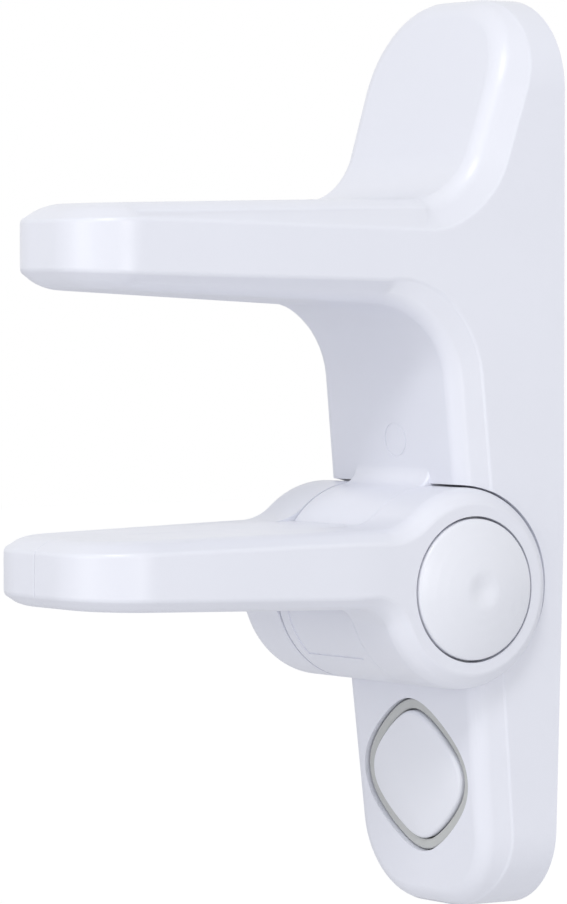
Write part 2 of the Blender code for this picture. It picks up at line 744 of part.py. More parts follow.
def build_clutch_plate(name, side, material, parent):
    lugs = toothed(PLATE_LUGS, PLATE_RADIUS, PLATE_LUG_RADIUS)
    plate = prism(lugs, HUB_VIEW, *span(side, RING_INNER_X, PLATE_END))
    join(plate, disc(COLLAR_RADIUS, HUB_VIEW, *span(side, COLLAR_END, PLATE_END - FIT)))
    bore = toothed(SPLINE_TEETH, SPLINE_ROOT, SPLINE_TIP, FIT)
    cut(plate, prism(bore, HUB_VIEW, *span(side, 0, RING_FACE)))
    return finish(plate, name, material, HUB_POINT, parent)


def build_lock_gear(name, side, material, parent):
    teeth = toothed(SPLINE_TEETH, SPLINE_ROOT, SPLINE_TIP)
    gear = prism(teeth, HUB_VIEW, *span(side, GEAR_INNER, GEAR_OUTER))
    sleeve = span(side, GEAR_OUTER - GEAR_FLOOR / 2, SLEEVE_END)
    join(gear, disc(GEAR_SLEEVE_RADIUS, HUB_VIEW, *sleeve, SMALL_SIDES))
    pocket = span(side, 0, GEAR_OUTER - GEAR_FLOOR)
    cut(gear, disc(GEAR_POCKET, HUB_VIEW, *pocket, SMALL_SIDES))
    cut(gear, disc(AXLE_RADIUS + FIT, HUB_VIEW, *span(side, 0, RING_FACE), SMALL_SIDES))
    return finish(gear, name, material, HUB_POINT, parent)


def build_release_button(name, side, material, parent):
    edge = RING_FACE + BUTTON_EDGE
    crown = RING_FACE + BUTTON_CROWN
    flange_end = BUTTON_STOP
    skirt_end = BUTTON_STOP - BUTTON_FLANGE_LENGTH
    boss_end = SLEEVE_END + FIT
    boss = GEAR_SLEEVE_RADIUS
    inside = edge - BUTTON_WALL
    bore = AXLE_RADIUS + FIT
    bore_end = edge - BUTTON_WALL
    skirt_inner = BUTTON_RADIUS - BUTTON_WALL
    dome_radius = (BUTTON_RADIUS ** 2 + (crown - edge) ** 2) / (2 * (crown - edge))
    dome_centre = crown - dome_radius

    def dome(radius):
        return dome_centre + math.sqrt(dome_radius ** 2 - radius ** 2)

    profile = [(0, crown - DIMPLE_DEPTH), (DIMPLE_RADIUS / 2, crown - DIMPLE_DEPTH)]
    profile += [(DIMPLE_RADIUS, dome(DIMPLE_RADIUS))]
    profile += [(BUTTON_RADIUS * share, dome(BUTTON_RADIUS * share)) for share in DOME_SHARES]
    profile += [
        (BUTTON_RADIUS, edge), (BUTTON_RADIUS, flange_end), (FLANGE_RADIUS, flange_end),
        (FLANGE_RADIUS, skirt_end), (skirt_inner, skirt_end), (skirt_inner, inside), (boss, inside),
        (boss, boss_end), (bore, boss_end), (bore, bore_end), (0, bore_end),
    ]
    profile = [(r, side * h) for r, h in profile]
    button = turned(profile, HUB_VIEW, ROUND_SIDES)
    return finish(button, name, material, HUB_POINT, parent)


# Decoy button

def build_decoy_ring(material):
    front = -DECOY_RING_SINK
    back = -WALL - FIT - DECOY_FLANGE_THICKNESS
    ring = prism(decoy_outline(0), DECOY_VIEW, back, front)
    flange = prism(decoy_outline(-DECOY_FLANGE), DECOY_VIEW, back, -WALL - FIT)
    join(ring, flange)
    cut(ring, prism(decoy_outline(DECOY_RING_WIDTH), DECOY_VIEW, -TRIM, TRIM))
    return finish(ring, "decoy_ring", material)


def build_decoy_button(material, parent):
    ring_back = -WALL - FIT - DECOY_FLANGE_THICKNESS
    shoulder = DECOY_CROWN / 3
    edge = DECOY_RING_WIDTH + FIT
    cap = prism(decoy_outline(edge), DECOY_VIEW, ring_back - FIT - DECOY_FLANGE_THICKNESS, shoulder)
    bm = bmesh.new()
    bm.from_mesh(cap.data)
    inward = (DECOY_VIEW.to_3x3() @ Vector((0, 0, 1))).normalized()
    front = max(bm.faces, key=lambda f: f.calc_center_median().dot(inward))
    for width, rise in ((DECOY_EDGE_ROUND, DECOY_CROWN / 3), (DECOY_DOME_INSET, DECOY_CROWN / 3)):
        bmesh.ops.inset_region(bm, faces=[front], thickness=width, use_even_offset=True)
        bmesh.ops.translate(bm, verts=front.verts, vec=inward * rise)
    bm.to_mesh(cap.data)
    bm.free()
    flange_back = ring_back - FIT - DECOY_FLANGE_THICKNESS
    join(cap, prism(decoy_outline(DECOY_RING_WIDTH - DECOY_FLANGE), DECOY_VIEW, flange_back, ring_back - FIT))
    cut(cap, prism(decoy_outline(edge + BUTTON_WALL), DECOY_VIEW, -TRIM, -DECOY_CAP))
    pivot = DECOY_VIEW.translation
    return finish(cap, "decoy_button", material, pivot, parent)


def build_decoy_spring(material):
    post_end = BACK_DEPTH + PLATE_DEPTH / 2 + DECOY_POST_LENGTH
    reach = (front_depth(DECOY_Z) - post_end) / math.cos(FRONT_LEAN_ANGLE)
    tilt_room = DECOY_SPRING_RADIUS * FRONT_LEAN + SPRING_WIRE
    return coil("decoy_spring", material, DECOY_VIEW, DECOY_SPRING_RADIUS, SPRING_WIRE, DECOY_SPRING_TURNS,
                -reach + FIT + tilt_room, -DECOY_CAP - FIT)


def axis_marker(name, point):
    marker = bpy.data.objects.new(name, None)
    marker.location = point
    bpy.context.scene.collection.objects.link(marker)
    return marker


def main():
    for obj in list(bpy.data.objects):
        bpy.data.objects.remove(obj)

    shell = plastic("white_shell", (0.86, 0.87, 0.90), 0.32)
    arm_white = plastic("white_arm", (0.86, 0.87, 0.90), 0.30)
    button_white = plastic("white_button", (0.88, 0.89, 0.91), 0.28)
    grey = plastic("grey_surround", (0.48, 0.48, 0.44), 0.45)
    inner = plastic("inner_nylon", (0.72, 0.71, 0.66), 0.5)
    plate_white = plastic("white_plate", (0.80, 0.81, 0.83), 0.45)
    foam = plastic("foam_pad", (0.75, 0.75, 0.74), 0.9)
    steel = plastic("zinc_steel", (0.62, 0.62, 0.62), 0.35, 1.0)

    arm_axis = axis_marker("arm_axis", HUB_POINT)
    slide_axis = axis_marker("lock_axis", HUB_POINT)
    decoy_axis = axis_marker("decoy_axis", DECOY_VIEW.translation)

    build_base_housing(shell)
    build_back_plate(plate_white)
    for number, (x, z) in enumerate(screw_spots(), 1):
        build_back_screw(number, x, z, steel)
    for name, step in (("upper", 1), ("middle", 0), ("lower", -1)):
        build_pad(f"adhesive_pad_{name}", step * PAD_PITCH, foam)

    full_arm = arm_form()
    for name, side in (("right", 1), ("left", -1)):
        build_arm_half(f"lower_arm_{name}", side, full_arm, arm_white, arm_axis)
        build_clutch_plate(f"clutch_plate_{name}", side, inner, arm_axis)
        build_lock_gear(f"lock_gear_{name}", side, inner, slide_axis)
        build_release_button(f"release_button_{name}", side, button_white, arm_axis)
        coil(f"lock_spring_{name}", steel, HUB_VIEW, SPRING_RADIUS, SPRING_WIRE, SPRING_TURNS,
             side * (WEB_FACE + FIT), side * (GEAR_OUTER - GEAR_FLOOR - FIT))
    bpy.data.objects.remove(full_arm)
    axle = disc(AXLE_RADIUS, HUB_VIEW, -AXLE_HALF, AXLE_HALF, SMALL_SIDES)
    finish(axle, "hub_axle", steel)

    build_decoy_ring(grey)
    build_decoy_button(button_white, decoy_axis)
    build_decoy_spring(steel)


main()
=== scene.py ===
import math

import bmesh
import bpy
from mathutils import Matrix, Vector


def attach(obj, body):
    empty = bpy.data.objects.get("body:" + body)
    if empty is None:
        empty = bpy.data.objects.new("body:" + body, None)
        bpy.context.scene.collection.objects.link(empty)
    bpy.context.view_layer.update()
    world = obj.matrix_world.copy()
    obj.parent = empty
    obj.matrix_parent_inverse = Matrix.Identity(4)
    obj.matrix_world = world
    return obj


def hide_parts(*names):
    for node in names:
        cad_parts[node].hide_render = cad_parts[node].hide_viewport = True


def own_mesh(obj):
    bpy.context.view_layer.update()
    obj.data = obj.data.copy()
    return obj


# Child safety lock for a door lever: X to the right, -Y out from the door, Z up.
# Outlines are in millimetres, "depth" is the distance out from the door.

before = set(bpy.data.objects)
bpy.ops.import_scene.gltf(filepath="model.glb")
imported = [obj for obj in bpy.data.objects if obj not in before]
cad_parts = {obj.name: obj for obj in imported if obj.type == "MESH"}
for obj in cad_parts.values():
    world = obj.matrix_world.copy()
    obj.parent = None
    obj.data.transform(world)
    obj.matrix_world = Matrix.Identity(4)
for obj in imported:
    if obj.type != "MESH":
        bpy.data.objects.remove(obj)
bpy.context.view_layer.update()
print("frame loaded,", len(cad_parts), "nodes")

mm = 0.001
far = 300  # longer than the lock, for cutters that go right through
behind = -12  # a depth behind the door's surface, where the forms start before they are cut off
outside = 40  # further out along X than any face of the hinge
weld = 2e-6  # metres, points closer than this become one
touch = 1e-6  # metres, points closer than this lie in one place
sliver = 1e-7  # metres, a length shorter than this counts as none
cornerAngle = math.radians(60)  # a cut edge that gets a small round turns more than this

# drawing planes: what the two numbers of an outline mean, and the way it is pulled
sideView = Matrix(((0, 0, 1, 0), (-1, 0, 0, 0), (0, 1, 0, 0), (0, 0, 0, 1)))  # depth, height, along X
planView = Matrix(((1, 0, 0, 0), (0, -1, 0, 0), (0, 0, 1, 0), (0, 0, 0, 1)))  # X, depth, upwards
frontView = Matrix(((1, 0, 0, 0), (0, 0, -1, 0), (0, 1, 0, 0), (0, 0, 0, 1)))  # X, height, out from the door


# ways of working

def meet(p, alongP, q, alongQ):  # where two lines cross
    p, alongP, q, alongQ = Vector(p), Vector(alongP), Vector(q), Vector(alongQ)
    return p + alongP * ((q - p).cross(alongQ) / alongP.cross(alongQ))


def drawOutline(corners, segments=12):
    # a flat face from (across, up, radius) corners, each rounded with a vertex bevel
    bm = bmesh.new()
    verts = [bm.verts.new((u * mm, v * mm, 0)) for u, v, radius in corners]
    bm.faces.new(verts)
    for vert, corner in zip(verts, corners):
        if corner[2] > 0:
            sideA, sideB = [edge.other_vert(vert).co - vert.co for edge in vert.link_edges]
            reach = corner[2] * mm / math.tan(sideA.angle(sideB) / 2)
            bmesh.ops.bevel(bm, geom=[vert], offset=reach, affect='VERTICES',
                            segments=segments, profile=0.5, material=-1)
    bm.normal_update()
    return bm


def drawCircle(radius, segments=96):
    bm = bmesh.new()
    bmesh.ops.create_circle(bm, cap_ends=True, segments=segments, radius=radius * mm)
    return bm


def pull(bm, view, low, high):
    # pulls the flat faces into a block between two heights of the view
    bmesh.ops.translate(bm, verts=bm.verts, vec=(0, 0, low * mm))
    raised = bmesh.ops.extrude_face_region(bm, geom=bm.faces[:])
    tops = [part for part in raised["geom"] if isinstance(part, bmesh.types.BMVert)]
    bmesh.ops.translate(bm, verts=tops, vec=(0, 0, (high - low) * mm))
    bmesh.ops.transform(bm, matrix=view, verts=bm.verts)
    bmesh.ops.recalc_face_normals(bm, faces=bm.faces)
    return bm


def turnProfile(corners, view, steps=96):
    # a closed (radius, height, rounding) profile spun round the view's third axis
    bm = drawOutline(corners, segments=5)
    bmesh.ops.rotate(bm, verts=bm.verts, cent=(0, 0, 0), matrix=Matrix.Rotation(math.radians(90), 3, 'X'))
    bmesh.ops.delete(bm, geom=bm.faces[:], context='FACES_ONLY')
    onAxis = [edge for edge in bm.edges if max(abs(vert.co.x) for vert in edge.verts) < sliver]
    bmesh.ops.delete(bm, geom=onAxis, context='EDGES')
    bmesh.ops.spin(bm, geom=bm.verts[:] + bm.edges[:], cent=(0, 0, 0), axis=(0, 0, 1),
                   angle=2 * math.pi, steps=steps, use_merge=True)
    bmesh.ops.remove_doubles(bm, verts=bm.verts, dist=touch)
    bmesh.ops.dissolve_degenerate(bm, edges=bm.edges, dist=sliver)
    bmesh.ops.transform(bm, matrix=view, verts=bm.verts)
    bmesh.ops.recalc_face_normals(bm, faces=bm.faces)
    return bm


def mergeFlats(bm):
    bmesh.ops.dissolve_limit(bm, angle_limit=math.radians(0.3), verts=bm.verts, edges=bm.edges)


def sharpEdges(bm):
    return [edge for edge in bm.edges
            if edge.is_manifold and edge.calc_face_angle_signed() > math.radians(40)]


def bevelEdges(bm, edges, offset, segments, clamp=False):
    return bmesh.ops.bevel(bm, geom=edges, offset=offset * mm, offset_type='OFFSET', affect='EDGES',
                           segments=segments, profile=0.5, clamp_overlap=clamp, material=-1)


def roundEdges(bm, radius, merge=True):
    # fillets every sharp outside edge
    if merge:
        mergeFlats(bm)
    bevelEdges(bm, sharpEdges(bm), radius, 3)
    bmesh.ops.remove_doubles(bm, verts=bm.verts, dist=weld)
    return bm


def easeEdges(bm, look):
    # the moulded edge: a chamfer with two softened rims, steep round the body and flatter out along an arm
    sideways, rimAngle = 0.2, math.radians(9)  # the least that a wall faces sideways and a rim turns

    def isWall(face):
        middle = face.calc_center_median()
        return (abs(face.normal.x) > sideways or -middle.y > look["tipFrom"] * mm
                or abs(middle.z) > look["endFrom"] * mm)

    def outward(vert, wall):
        faces = [face for face in vert.link_faces if face not in band and isWall(face) == wall]
        return sum((face.normal for face in faces), Vector()).normalized() if faces else None

    mergeFlats(bm)
    band = set(bevelEdges(bm, sharpEdges(bm), look["chamfer"], 1)["faces"])
    across = [edge for edge in bm.edges
              if len(edge.link_faces) == 2 and all(face in band for face in edge.link_faces)]
    moves = []
    for edge in across:
        first, second = edge.verts
        for wall, flat in ((first, second), (second, first)):
            wallOut, flatOut = outward(wall, True), outward(flat, False)
            if wallOut and flatOut:
                share = (-wall.co.y / mm - look["flatFrom"]) / (look["flatTo"] - look["flatFrom"])
                share = min(1, max(0, share))
                share = share * share * (3 - 2 * share)  # 0 at the body, 1 out along the arm, eased between
                end = wallOut.z ** 2  # 1 on the top and the foot
                high = flatOut.z > 0
                inset = look["topInset"] if high else look["inset"]
                inset += end * (look["endInset"] - inset)
                inset += share * (look["armTopInset" if high else "armLowInset"] - inset)
                drop = look["drop"] + end * (look["endDrop"] - look["drop"])
                drop += share * (look["armTopDrop" if high else "armLowDrop"] - drop)
                lean = wallOut.dot(flatOut)
                moves.append((wall, (flatOut - lean * wallOut) * (look["chamfer"] - drop) * mm))
                moves.append((flat, (wallOut - lean * flatOut) * (look["chamfer"] - inset) * mm))
                break
    for vert, step in dict(moves).items():
        vert.co += step
    rims = {True: [], False: []}
    for edge in bm.edges:
        outer = [face for face in edge.link_faces if face not in band]
        if len(outer) == 1 and len(edge.link_faces) == 2 and edge.calc_face_angle_signed() > rimAngle:
            rims[isWall(outer[0])].append(edge)
    bevelEdges(bm, rims[True], look["wallSoften"], 3)
    bevelEdges(bm, rims[False], look["flatSoften"], 7)
    bmesh.ops.remove_doubles(bm, verts=bm.verts, dist=weld)
    return bm


def toPiece(bm, name):
    mesh = bpy.data.meshes.new(name)
    bm.to_mesh(mesh)
    bm.free()
    piece = bpy.data.objects.new(name, mesh)
    bpy.context.scene.collection.objects.link(piece)
    return piece


def carve(piece, tools, how='DIFFERENCE'):
    # one Boolean with all the tools, then the tools go
    toolBox = bpy.data.collections.new("tools")
    toolPieces = [toPiece(tool, "tool") if isinstance(tool, bmesh.types.BMesh) else tool for tool in tools]
    for tool in toolPieces:
        toolBox.objects.link(tool)
    boolean = piece.modifiers.new("carve", 'BOOLEAN')
    boolean.operation = how
    boolean.solver = 'EXACT'
    boolean.operand_type = 'COLLECTION'
    boolean.collection = toolBox
    mesh = bpy.data.meshes.new_from_object(piece.evaluated_get(bpy.context.evaluated_depsgraph_get()))
    piece.modifiers.clear()
    piece.data = mesh
    for tool in toolPieces:
        bpy.data.objects.remove(tool)
    bpy.data.collections.remove(toolBox)
    bm = bmesh.new()
    bm.from_mesh(mesh)
    bmesh.ops.remove_doubles(bm, verts=bm.verts, dist=weld)
    bmesh.ops.dissolve_degenerate(bm, edges=bm.edges, dist=weld)
    bm.to_mesh(mesh)
    bm.free()
    return piece


def reshape(piece, work):
    # runs a bmesh step on a piece's own mesh
    bm = bmesh.new()
    bm.from_mesh(piece.data)
    work(bm)
    bm.to_mesh(piece.data)
    bm.free()
    return piece


def settle(piece, name, body, nodes, material):
    # smooth shading, finish, and the CAD nodes that the piece stands for
    piece.name = name
    piece.data.name = name
    piece.data.materials.clear()
    piece.data.materials.append(material)
    piece.data.shade_smooth()
    piece.data.set_sharp_from_angle(angle=math.radians(32))
    even = piece.modifiers.new("evenNormals", 'WEIGHTED_NORMAL')
    even.keep_sharp = True
    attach(piece, body)
    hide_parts(*nodes)
    return piece


# finishes

def newGroup(name, inputs, outputs):
    group = bpy.data.node_groups.new(name, 'ShaderNodeTree')
    for socketName, kind, value in inputs:
        socket = group.interface.new_socket(socketName, in_out='INPUT', socket_type=kind)
        socket.default_value = value
    for socketName, kind in outputs:
        group.interface.new_socket(socketName, in_out='OUTPUT', socket_type=kind)
    return group, group.nodes.new('NodeGroupInput'), group.nodes.new('NodeGroupOutput')


def addNode(tree, kind, inputs=None, **values):
    node = tree.nodes.new(kind)
    for key, value in values.items():
        setattr(node, key, value)
    for key, value in (inputs or {}).items():
        node.inputs[key].default_value = value
    return node


def linker(tree):
    def link(source, output, target, entry):
        tree.links.new(source.outputs[output], target.inputs[entry])
    return link


def newFinish(name):
    material = bpy.data.materials.new(name)
    material.use_nodes = True
    tree = material.node_tree
    return material, tree, tree.nodes["Principled BSDF"]


mould = {
    "cloudSize": 45, "cloudDetail": 3, "flowSize": 120, "flowDetail": 4, "flowLow": 0.3, "flowHigh": 0.7,
    "grainDetail": 2, "grainDeep": 0.0001, "ior": 1.52,
}


def makeMouldGroup():
    # moulded plastic: a faint cloudiness in the colour, uneven sheen and the fine grain of the tool
    group, start, end = newGroup("mouldedSurface", (
        ("Colour", 'NodeSocketColor', (0.85, 0.86, 0.88, 1)),
        ("Cloud", 'NodeSocketFloat', 0.03),
        ("Sheen low", 'NodeSocketFloat', 0.3),
        ("Sheen high", 'NodeSocketFloat', 0.4),
        ("Grain size", 'NodeSocketFloat', 2600.0),
    ), (("Colour", 'NodeSocketColor'), ("Roughness", 'NodeSocketFloat'), ("Height", 'NodeSocketFloat')))
    place = addNode(group, 'ShaderNodeTexCoord')
    broad = addNode(group, 'ShaderNodeTexNoise',
                    {"Scale": mould["cloudSize"], "Detail": mould["cloudDetail"]})
    dim = addNode(group, 'ShaderNodeMath', operation='MULTIPLY')
    keep = addNode(group, 'ShaderNodeMath', {0: 1}, operation='SUBTRACT')
    shade = addNode(group, 'ShaderNodeVectorMath', operation='SCALE')
    flow = addNode(group, 'ShaderNodeTexNoise', {"Scale": mould["flowSize"], "Detail": mould["flowDetail"]})
    sheen = addNode(group, 'ShaderNodeMapRange',
                    {"From Min": mould["flowLow"], "From Max": mould["flowHigh"]})
    grain = addNode(group, 'ShaderNodeTexNoise', {"Detail": mould["grainDetail"]})
    link = linker(group)
    for noise in (broad, flow, grain):
        link(place, "Object", noise, "Vector")
    link(broad, "Fac", dim, 0)
    link(start, "Cloud", dim, 1)
    link(dim, 0, keep, 1)
    link(start, "Colour", shade, 0)
    link(keep, 0, shade, "Scale")
    link(shade, 0, end, "Colour")
    link(flow, "Fac", sheen, "Value")
    link(start, "Sheen low", sheen, "To Min")
    link(start, "Sheen high", sheen, "To Max")
    link(sheen, "Result", end, "Roughness")
    link(start, "Grain size", grain, "Scale")
    link(grain, "Fac", end, "Height")
    return group


mouldGroup = makeMouldGroup()


def plasticFinish(name, look):
    material, tree, shader = newFinish(name)
    surface = addNode(tree, 'ShaderNodeGroup', {
        "Colour": (*look["colour"], 1), "Cloud": look["cloud"], "Sheen low": look["sheen"][0],
        "Sheen high": look["sheen"][1], "Grain size": look["grainSize"]}, node_tree=mouldGroup)
    bump = addNode(tree, 'ShaderNodeBump', {"Strength": look["grain"], "Distance": mould["grainDeep"]})
    link = linker(tree)
    link(surface, "Height", bump, "Height")
    link(surface, "Colour", shader, "Base Color")
    link(surface, "Roughness", shader, "Roughness")
    link(bump, "Normal", shader, "Normal")
    shader.inputs["IOR"].default_value = mould["ior"]
    return material


def steelFinish(name, look):
    # zinc on steel: fine drawn lines and a mottled dull shine
    material, tree, shader = newFinish(name)
    place = addNode(tree, 'ShaderNodeTexCoord')
    stretch = addNode(tree, 'ShaderNodeMapping', {"Scale": look["drawn"]})
    lines = addNode(tree, 'ShaderNodeTexNoise', {"Scale": 1, "Detail": look["drawnDetail"]})
    patches = addNode(tree, 'ShaderNodeTexVoronoi', {"Scale": look["patchSize"]})
    tone = addNode(tree, 'ShaderNodeValToRGB')
    tone.color_ramp.elements[0].color = (*look["dark"], 1)
    tone.color_ramp.elements[1].color = (*look["bright"], 1)
    low, high = look["roughness"]
    polish = addNode(tree, 'ShaderNodeMapRange', {"To Min": low, "To Max": high})
    bump = addNode(tree, 'ShaderNodeBump', {"Strength": look["grain"], "Distance": look["grainDeep"]})
    link = linker(tree)
    link(place, "Object", stretch, "Vector")
    link(stretch, "Vector", lines, "Vector")
    link(place, "Object", patches, "Vector")
    link(patches, "Distance", tone, "Fac")
    link(tone, "Color", shader, "Base Color")
    link(lines, "Fac", polish, "Value")
    link(polish, "Result", shader, "Roughness")
    link(lines, "Fac", bump, "Height")
    link(bump, "Normal", shader, "Normal")
    shader.inputs["Metallic"].default_value = 1
    return material


def foamFinish(name, look):
    # closed-cell foam: small round pits with painted shade in their hollows, on a dry matt face
    material, tree, shader = newFinish(name)
    place = addNode(tree, 'ShaderNodeTexCoord')
    cells = addNode(tree, 'ShaderNodeTexVoronoi', {
        "Scale": look["cellsPerMetre"], "Smoothness": look["cellBlend"]}, feature='SMOOTH_F1')
    tone = addNode(tree, 'ShaderNodeValToRGB')
    # painted shade: the colour is darkest at the bottom of each cell's pit, where the bump is lowest
    tone.color_ramp.elements[0].color = (*look["deep"], 1)
    tone.color_ramp.elements[1].color = (*look["face"], 1)
    tone.color_ramp.elements[1].position = look["faceFrom"]
    near, deep = look["roughness"]
    dry = addNode(tree, 'ShaderNodeMapRange', {"To Min": near, "To Max": deep})
    bump = addNode(tree, 'ShaderNodeBump', {"Strength": look["grain"], "Distance": look["grainDeep"]})
    link = linker(tree)
    link(place, "Object", cells, "Vector")
    link(cells, "Distance", tone, "Fac")
    link(tone, "Color", shader, "Base Color")
    link(cells, "Distance", dry, "Value")
    link(dry, "Result", shader, "Roughness")
    link(cells, "Distance", bump, "Height")
    link(bump, "Normal", shader, "Normal")
    return material


shellWhite = plasticFinish("shellWhite", {
    "colour": (0.80, 0.812, 0.88), "cloud": 0.03, "sheen": (0.30, 0.38), "grain": 0.05, "grainSize": 2600})
armWhite = plasticFinish("armWhite", {
    "colour": (0.80, 0.812, 0.88), "cloud": 0.03, "sheen": (0.30, 0.37), "grain": 0.05, "grainSize": 2600})
buttonWhite = plasticFinish("buttonWhite", {
    "colour": (0.81, 0.822, 0.88), "cloud": 0.02, "sheen": (0.30, 0.37), "grain": 0.06, "grainSize": 3000})
plateWhite = plasticFinish("plateWhite", {
    "colour": (0.74, 0.75, 0.78), "cloud": 0.06, "sheen": (0.45, 0.6), "grain": 0.25, "grainSize": 1500})
surroundGrey = plasticFinish("surroundGrey", {
    "colour": (0.55, 0.56, 0.55), "cloud": 0.08, "sheen": (0.5, 0.62), "grain": 0.2, "grainSize": 2200})
innerNylon = plasticFinish("innerNylon", {
    "colour": (0.68, 0.67, 0.61), "cloud": 0.08, "sheen": (0.4, 0.55), "grain": 0.15, "grainSize": 1800})
zincSteel = steelFinish("zincSteel", {
    "dark": (0.42, 0.43, 0.44), "bright": (0.68, 0.69, 0.70), "roughness": (0.24, 0.42),
    "drawn": (300, 5000, 5000), "drawnDetail": 4, "patchSize": 900, "grain": 0.2, "grainDeep": 0.00005})
# the deep colour is painted shade in the pits of the cells
padFoam = foamFinish("padFoam", {
    "deep": (0.45, 0.45, 0.44), "face": (0.74, 0.74, 0.73), "faceFrom": 0.55, "roughness": (0.95, 0.7),
    "cellsPerMetre": 1300, "cellBlend": 0.4, "grain": 0.7, "grainDeep": 0.0003})
print("finishes ready")


# base with the fixed upper arm and the middle knuckle of the hinge

base = {
    "top": 95, "foot": -95, "back": 1.3,
    "halfWidth": 26, "footHalfWidth": 23.2, "taperStart": -15, "topCorner": 19, "footCorner": 17,
    "topDepth": 11.6, "topSlope": 0.325, "footDepth": 17.4, "lean": 0.099,
    "armReach": 113.5, "armTipHalf": 16.6, "armTipCorner": 13.5, "armRootDepth": 45,
    "armRootTop": 52.8, "armRootBottom": 31.4, "armTipTop": 51.2, "armTipBottom": 34.6,
    "neckRound": 17, "shoulderRound": 14, "rim": 1.4, "wall": 2.6, "plate": 2,
    "formHalf": 60, "formEnd": 130, "plateGap": 0.3, "screwHole": 1.6, "screwHoleEnd": 10.6,
    "roomHalf": 13.4, "roomStart": 2, "upperRoomLow": -1, "upperRoomGap": 5,
    "lowerRoomTop": -53, "lowerRoomGap": 11,
    "edge": {"chamfer": 5.2, "inset": 1.2, "topInset": 2.3, "drop": 6.8, "endInset": 0.8, "endDrop": 3,
             "armTopInset": 5.2, "armLowInset": 4.2, "armTopDrop": 3.3, "armLowDrop": 3.4, "tipFrom": 107.8,
             "endFrom": 94.5, "flatFrom": 30, "flatTo": 56, "wallSoften": 0.6, "flatSoften": 3},
}
hub = {
    "depth": 26.6, "height": -26.9, "radius": 20.7, "knuckleHalf": 12.8, "groove": 0.5, "grooveShift": 0.3,
    "grooveGap": 0.03, "rootDeep": 10, "fadeRun": 1.5, "fadeSink": 0.03,
    "topBlend": 3.8, "lowBlend": 1.6, "axleBore": 3.3, "gearBore": 9.6, "collarBore": 13.3, "webHalf": 1.5,
    "collarEnd": 9.8, "rimRound": 0.7,
}
hubView = Matrix.Translation((0, -hub["depth"] * mm, hub["height"] * mm)) @ sideView
hubCentre = Vector((hub["depth"], hub["height"]))


def frontDepth(height):
    return base["footDepth"] + base["lean"] * (height - base["foot"])


def onFront(x, height):
    # a drawing plane on the leaning front of the base
    return (Matrix.Translation((x * mm, -frontDepth(height) * mm, height * mm))
            @ Matrix.Rotation(math.atan(base["lean"]), 4, 'X') @ frontView)


def sweep(bm, vert, centre, endPoint, turn):
    # carries a point round a centre to an end point, leaving an arc of edges
    start = Vector((vert.co.x / mm - centre[0], vert.co.y / mm - centre[1]))
    end = Vector((endPoint[0] - centre[0], endPoint[1] - centre[1]))
    angle = (math.atan2(end.y, end.x) - math.atan2(start.y, start.x)) * turn % (2 * math.pi)
    steps = max(3, round(math.degrees(angle) / 4))
    arc = bmesh.ops.spin(bm, geom=[vert], cent=(centre[0] * mm, centre[1] * mm, 0), axis=(0, 0, 1),
                         angle=turn * angle, steps=steps)
    return [part for part in arc["geom_last"] if isinstance(part, bmesh.types.BMVert)][0]


def lineTo(bm, vert, point):
    end = bm.verts.new((point[0] * mm, point[1] * mm, 0))
    bm.edges.new((vert, end))
    return end


def closeOutline(bm):
    bmesh.ops.remove_doubles(bm, verts=bm.verts, dist=touch)
    bmesh.ops.contextual_create(bm, geom=bm.edges[:])
    return bm


def hubBlend(point, along, freeSide, radius, first):
    # the fillet circle between a straight line and the hinge's round
    along = Vector(along).normalized()
    offset = Vector(point) + Vector(freeSide) * radius - hubCentre
    half = offset.dot(along)
    root = math.sqrt(half ** 2 - offset.length_squared + (hub["radius"] + radius) ** 2)
    centre = hubCentre + offset + along * (-half - root if first else -half + root)
    onLine = centre - Vector(freeSide) * radius
    onHub = hubCentre + (centre - hubCentre) * (hub["radius"] / (hub["radius"] + radius))
    return centre, onLine, onHub


def sideCorners():
    rise = base["armRootDepth"]
    run = base["armReach"] - rise
    neck = meet((base["footDepth"], base["foot"]), (base["lean"], 1),
                (rise, base["armRootBottom"]), (run, base["armTipBottom"] - base["armRootBottom"]))
    shoulder = meet((base["topDepth"], base["top"]), (-base["topSlope"], 1),
                    (rise, base["armRootTop"]), (run, base["armTipTop"] - base["armRootTop"]))
    return [
        (behind, base["foot"], 0), (base["footDepth"], base["foot"], 0), (*neck, base["neckRound"]),
        (base["armReach"], base["armTipBottom"], 0), (base["armReach"], base["armTipTop"], 0),
        (*shoulder, base["shoulderRound"]), (base["topDepth"], base["top"], 0), (behind, base["top"], 0),
    ]


def frontCorners(inset=0):
    wide, narrow = base["halfWidth"] - inset, base["footHalfWidth"] - inset
    top, foot = base["top"] - inset, base["foot"] + inset
    return [
        (narrow, foot, base["footCorner"] - inset), (wide, base["taperStart"], 0),
        (wide, top, base["topCorner"] - inset), (-wide, top, base["topCorner"] - inset),
        (-wide, base["taperStart"], 0), (-narrow, foot, base["footCorner"] - inset),
    ]


def roundBase(bm):
    # full rounds on the corner edges of the tip, the top and the foot, then the moulded edge
    mergeFlats(bm)
    near, long = 1e-5, 0.005  # metres, a corner edge lies this near to its end face and is longer than this
    y, z = 1, 2
    for corner, segments, across, end, along in (("armTipCorner", 12, y, -base["armReach"], z),
                                                 ("topCorner", 14, z, base["top"], y),
                                                 ("footCorner", 14, z, base["foot"], y)):
        wanted = [edge for edge in bm.edges
                  if max(abs(vert.co[across] - end * mm) for vert in edge.verts) < near
                  and abs(edge.verts[0].co[along] - edge.verts[1].co[along]) > long]
        for edge in wanted:
            bevelEdges(bm, [edge], base[corner] * math.tan(edge.calc_face_angle() / 2), segments)
    easeEdges(bm, base["edge"])


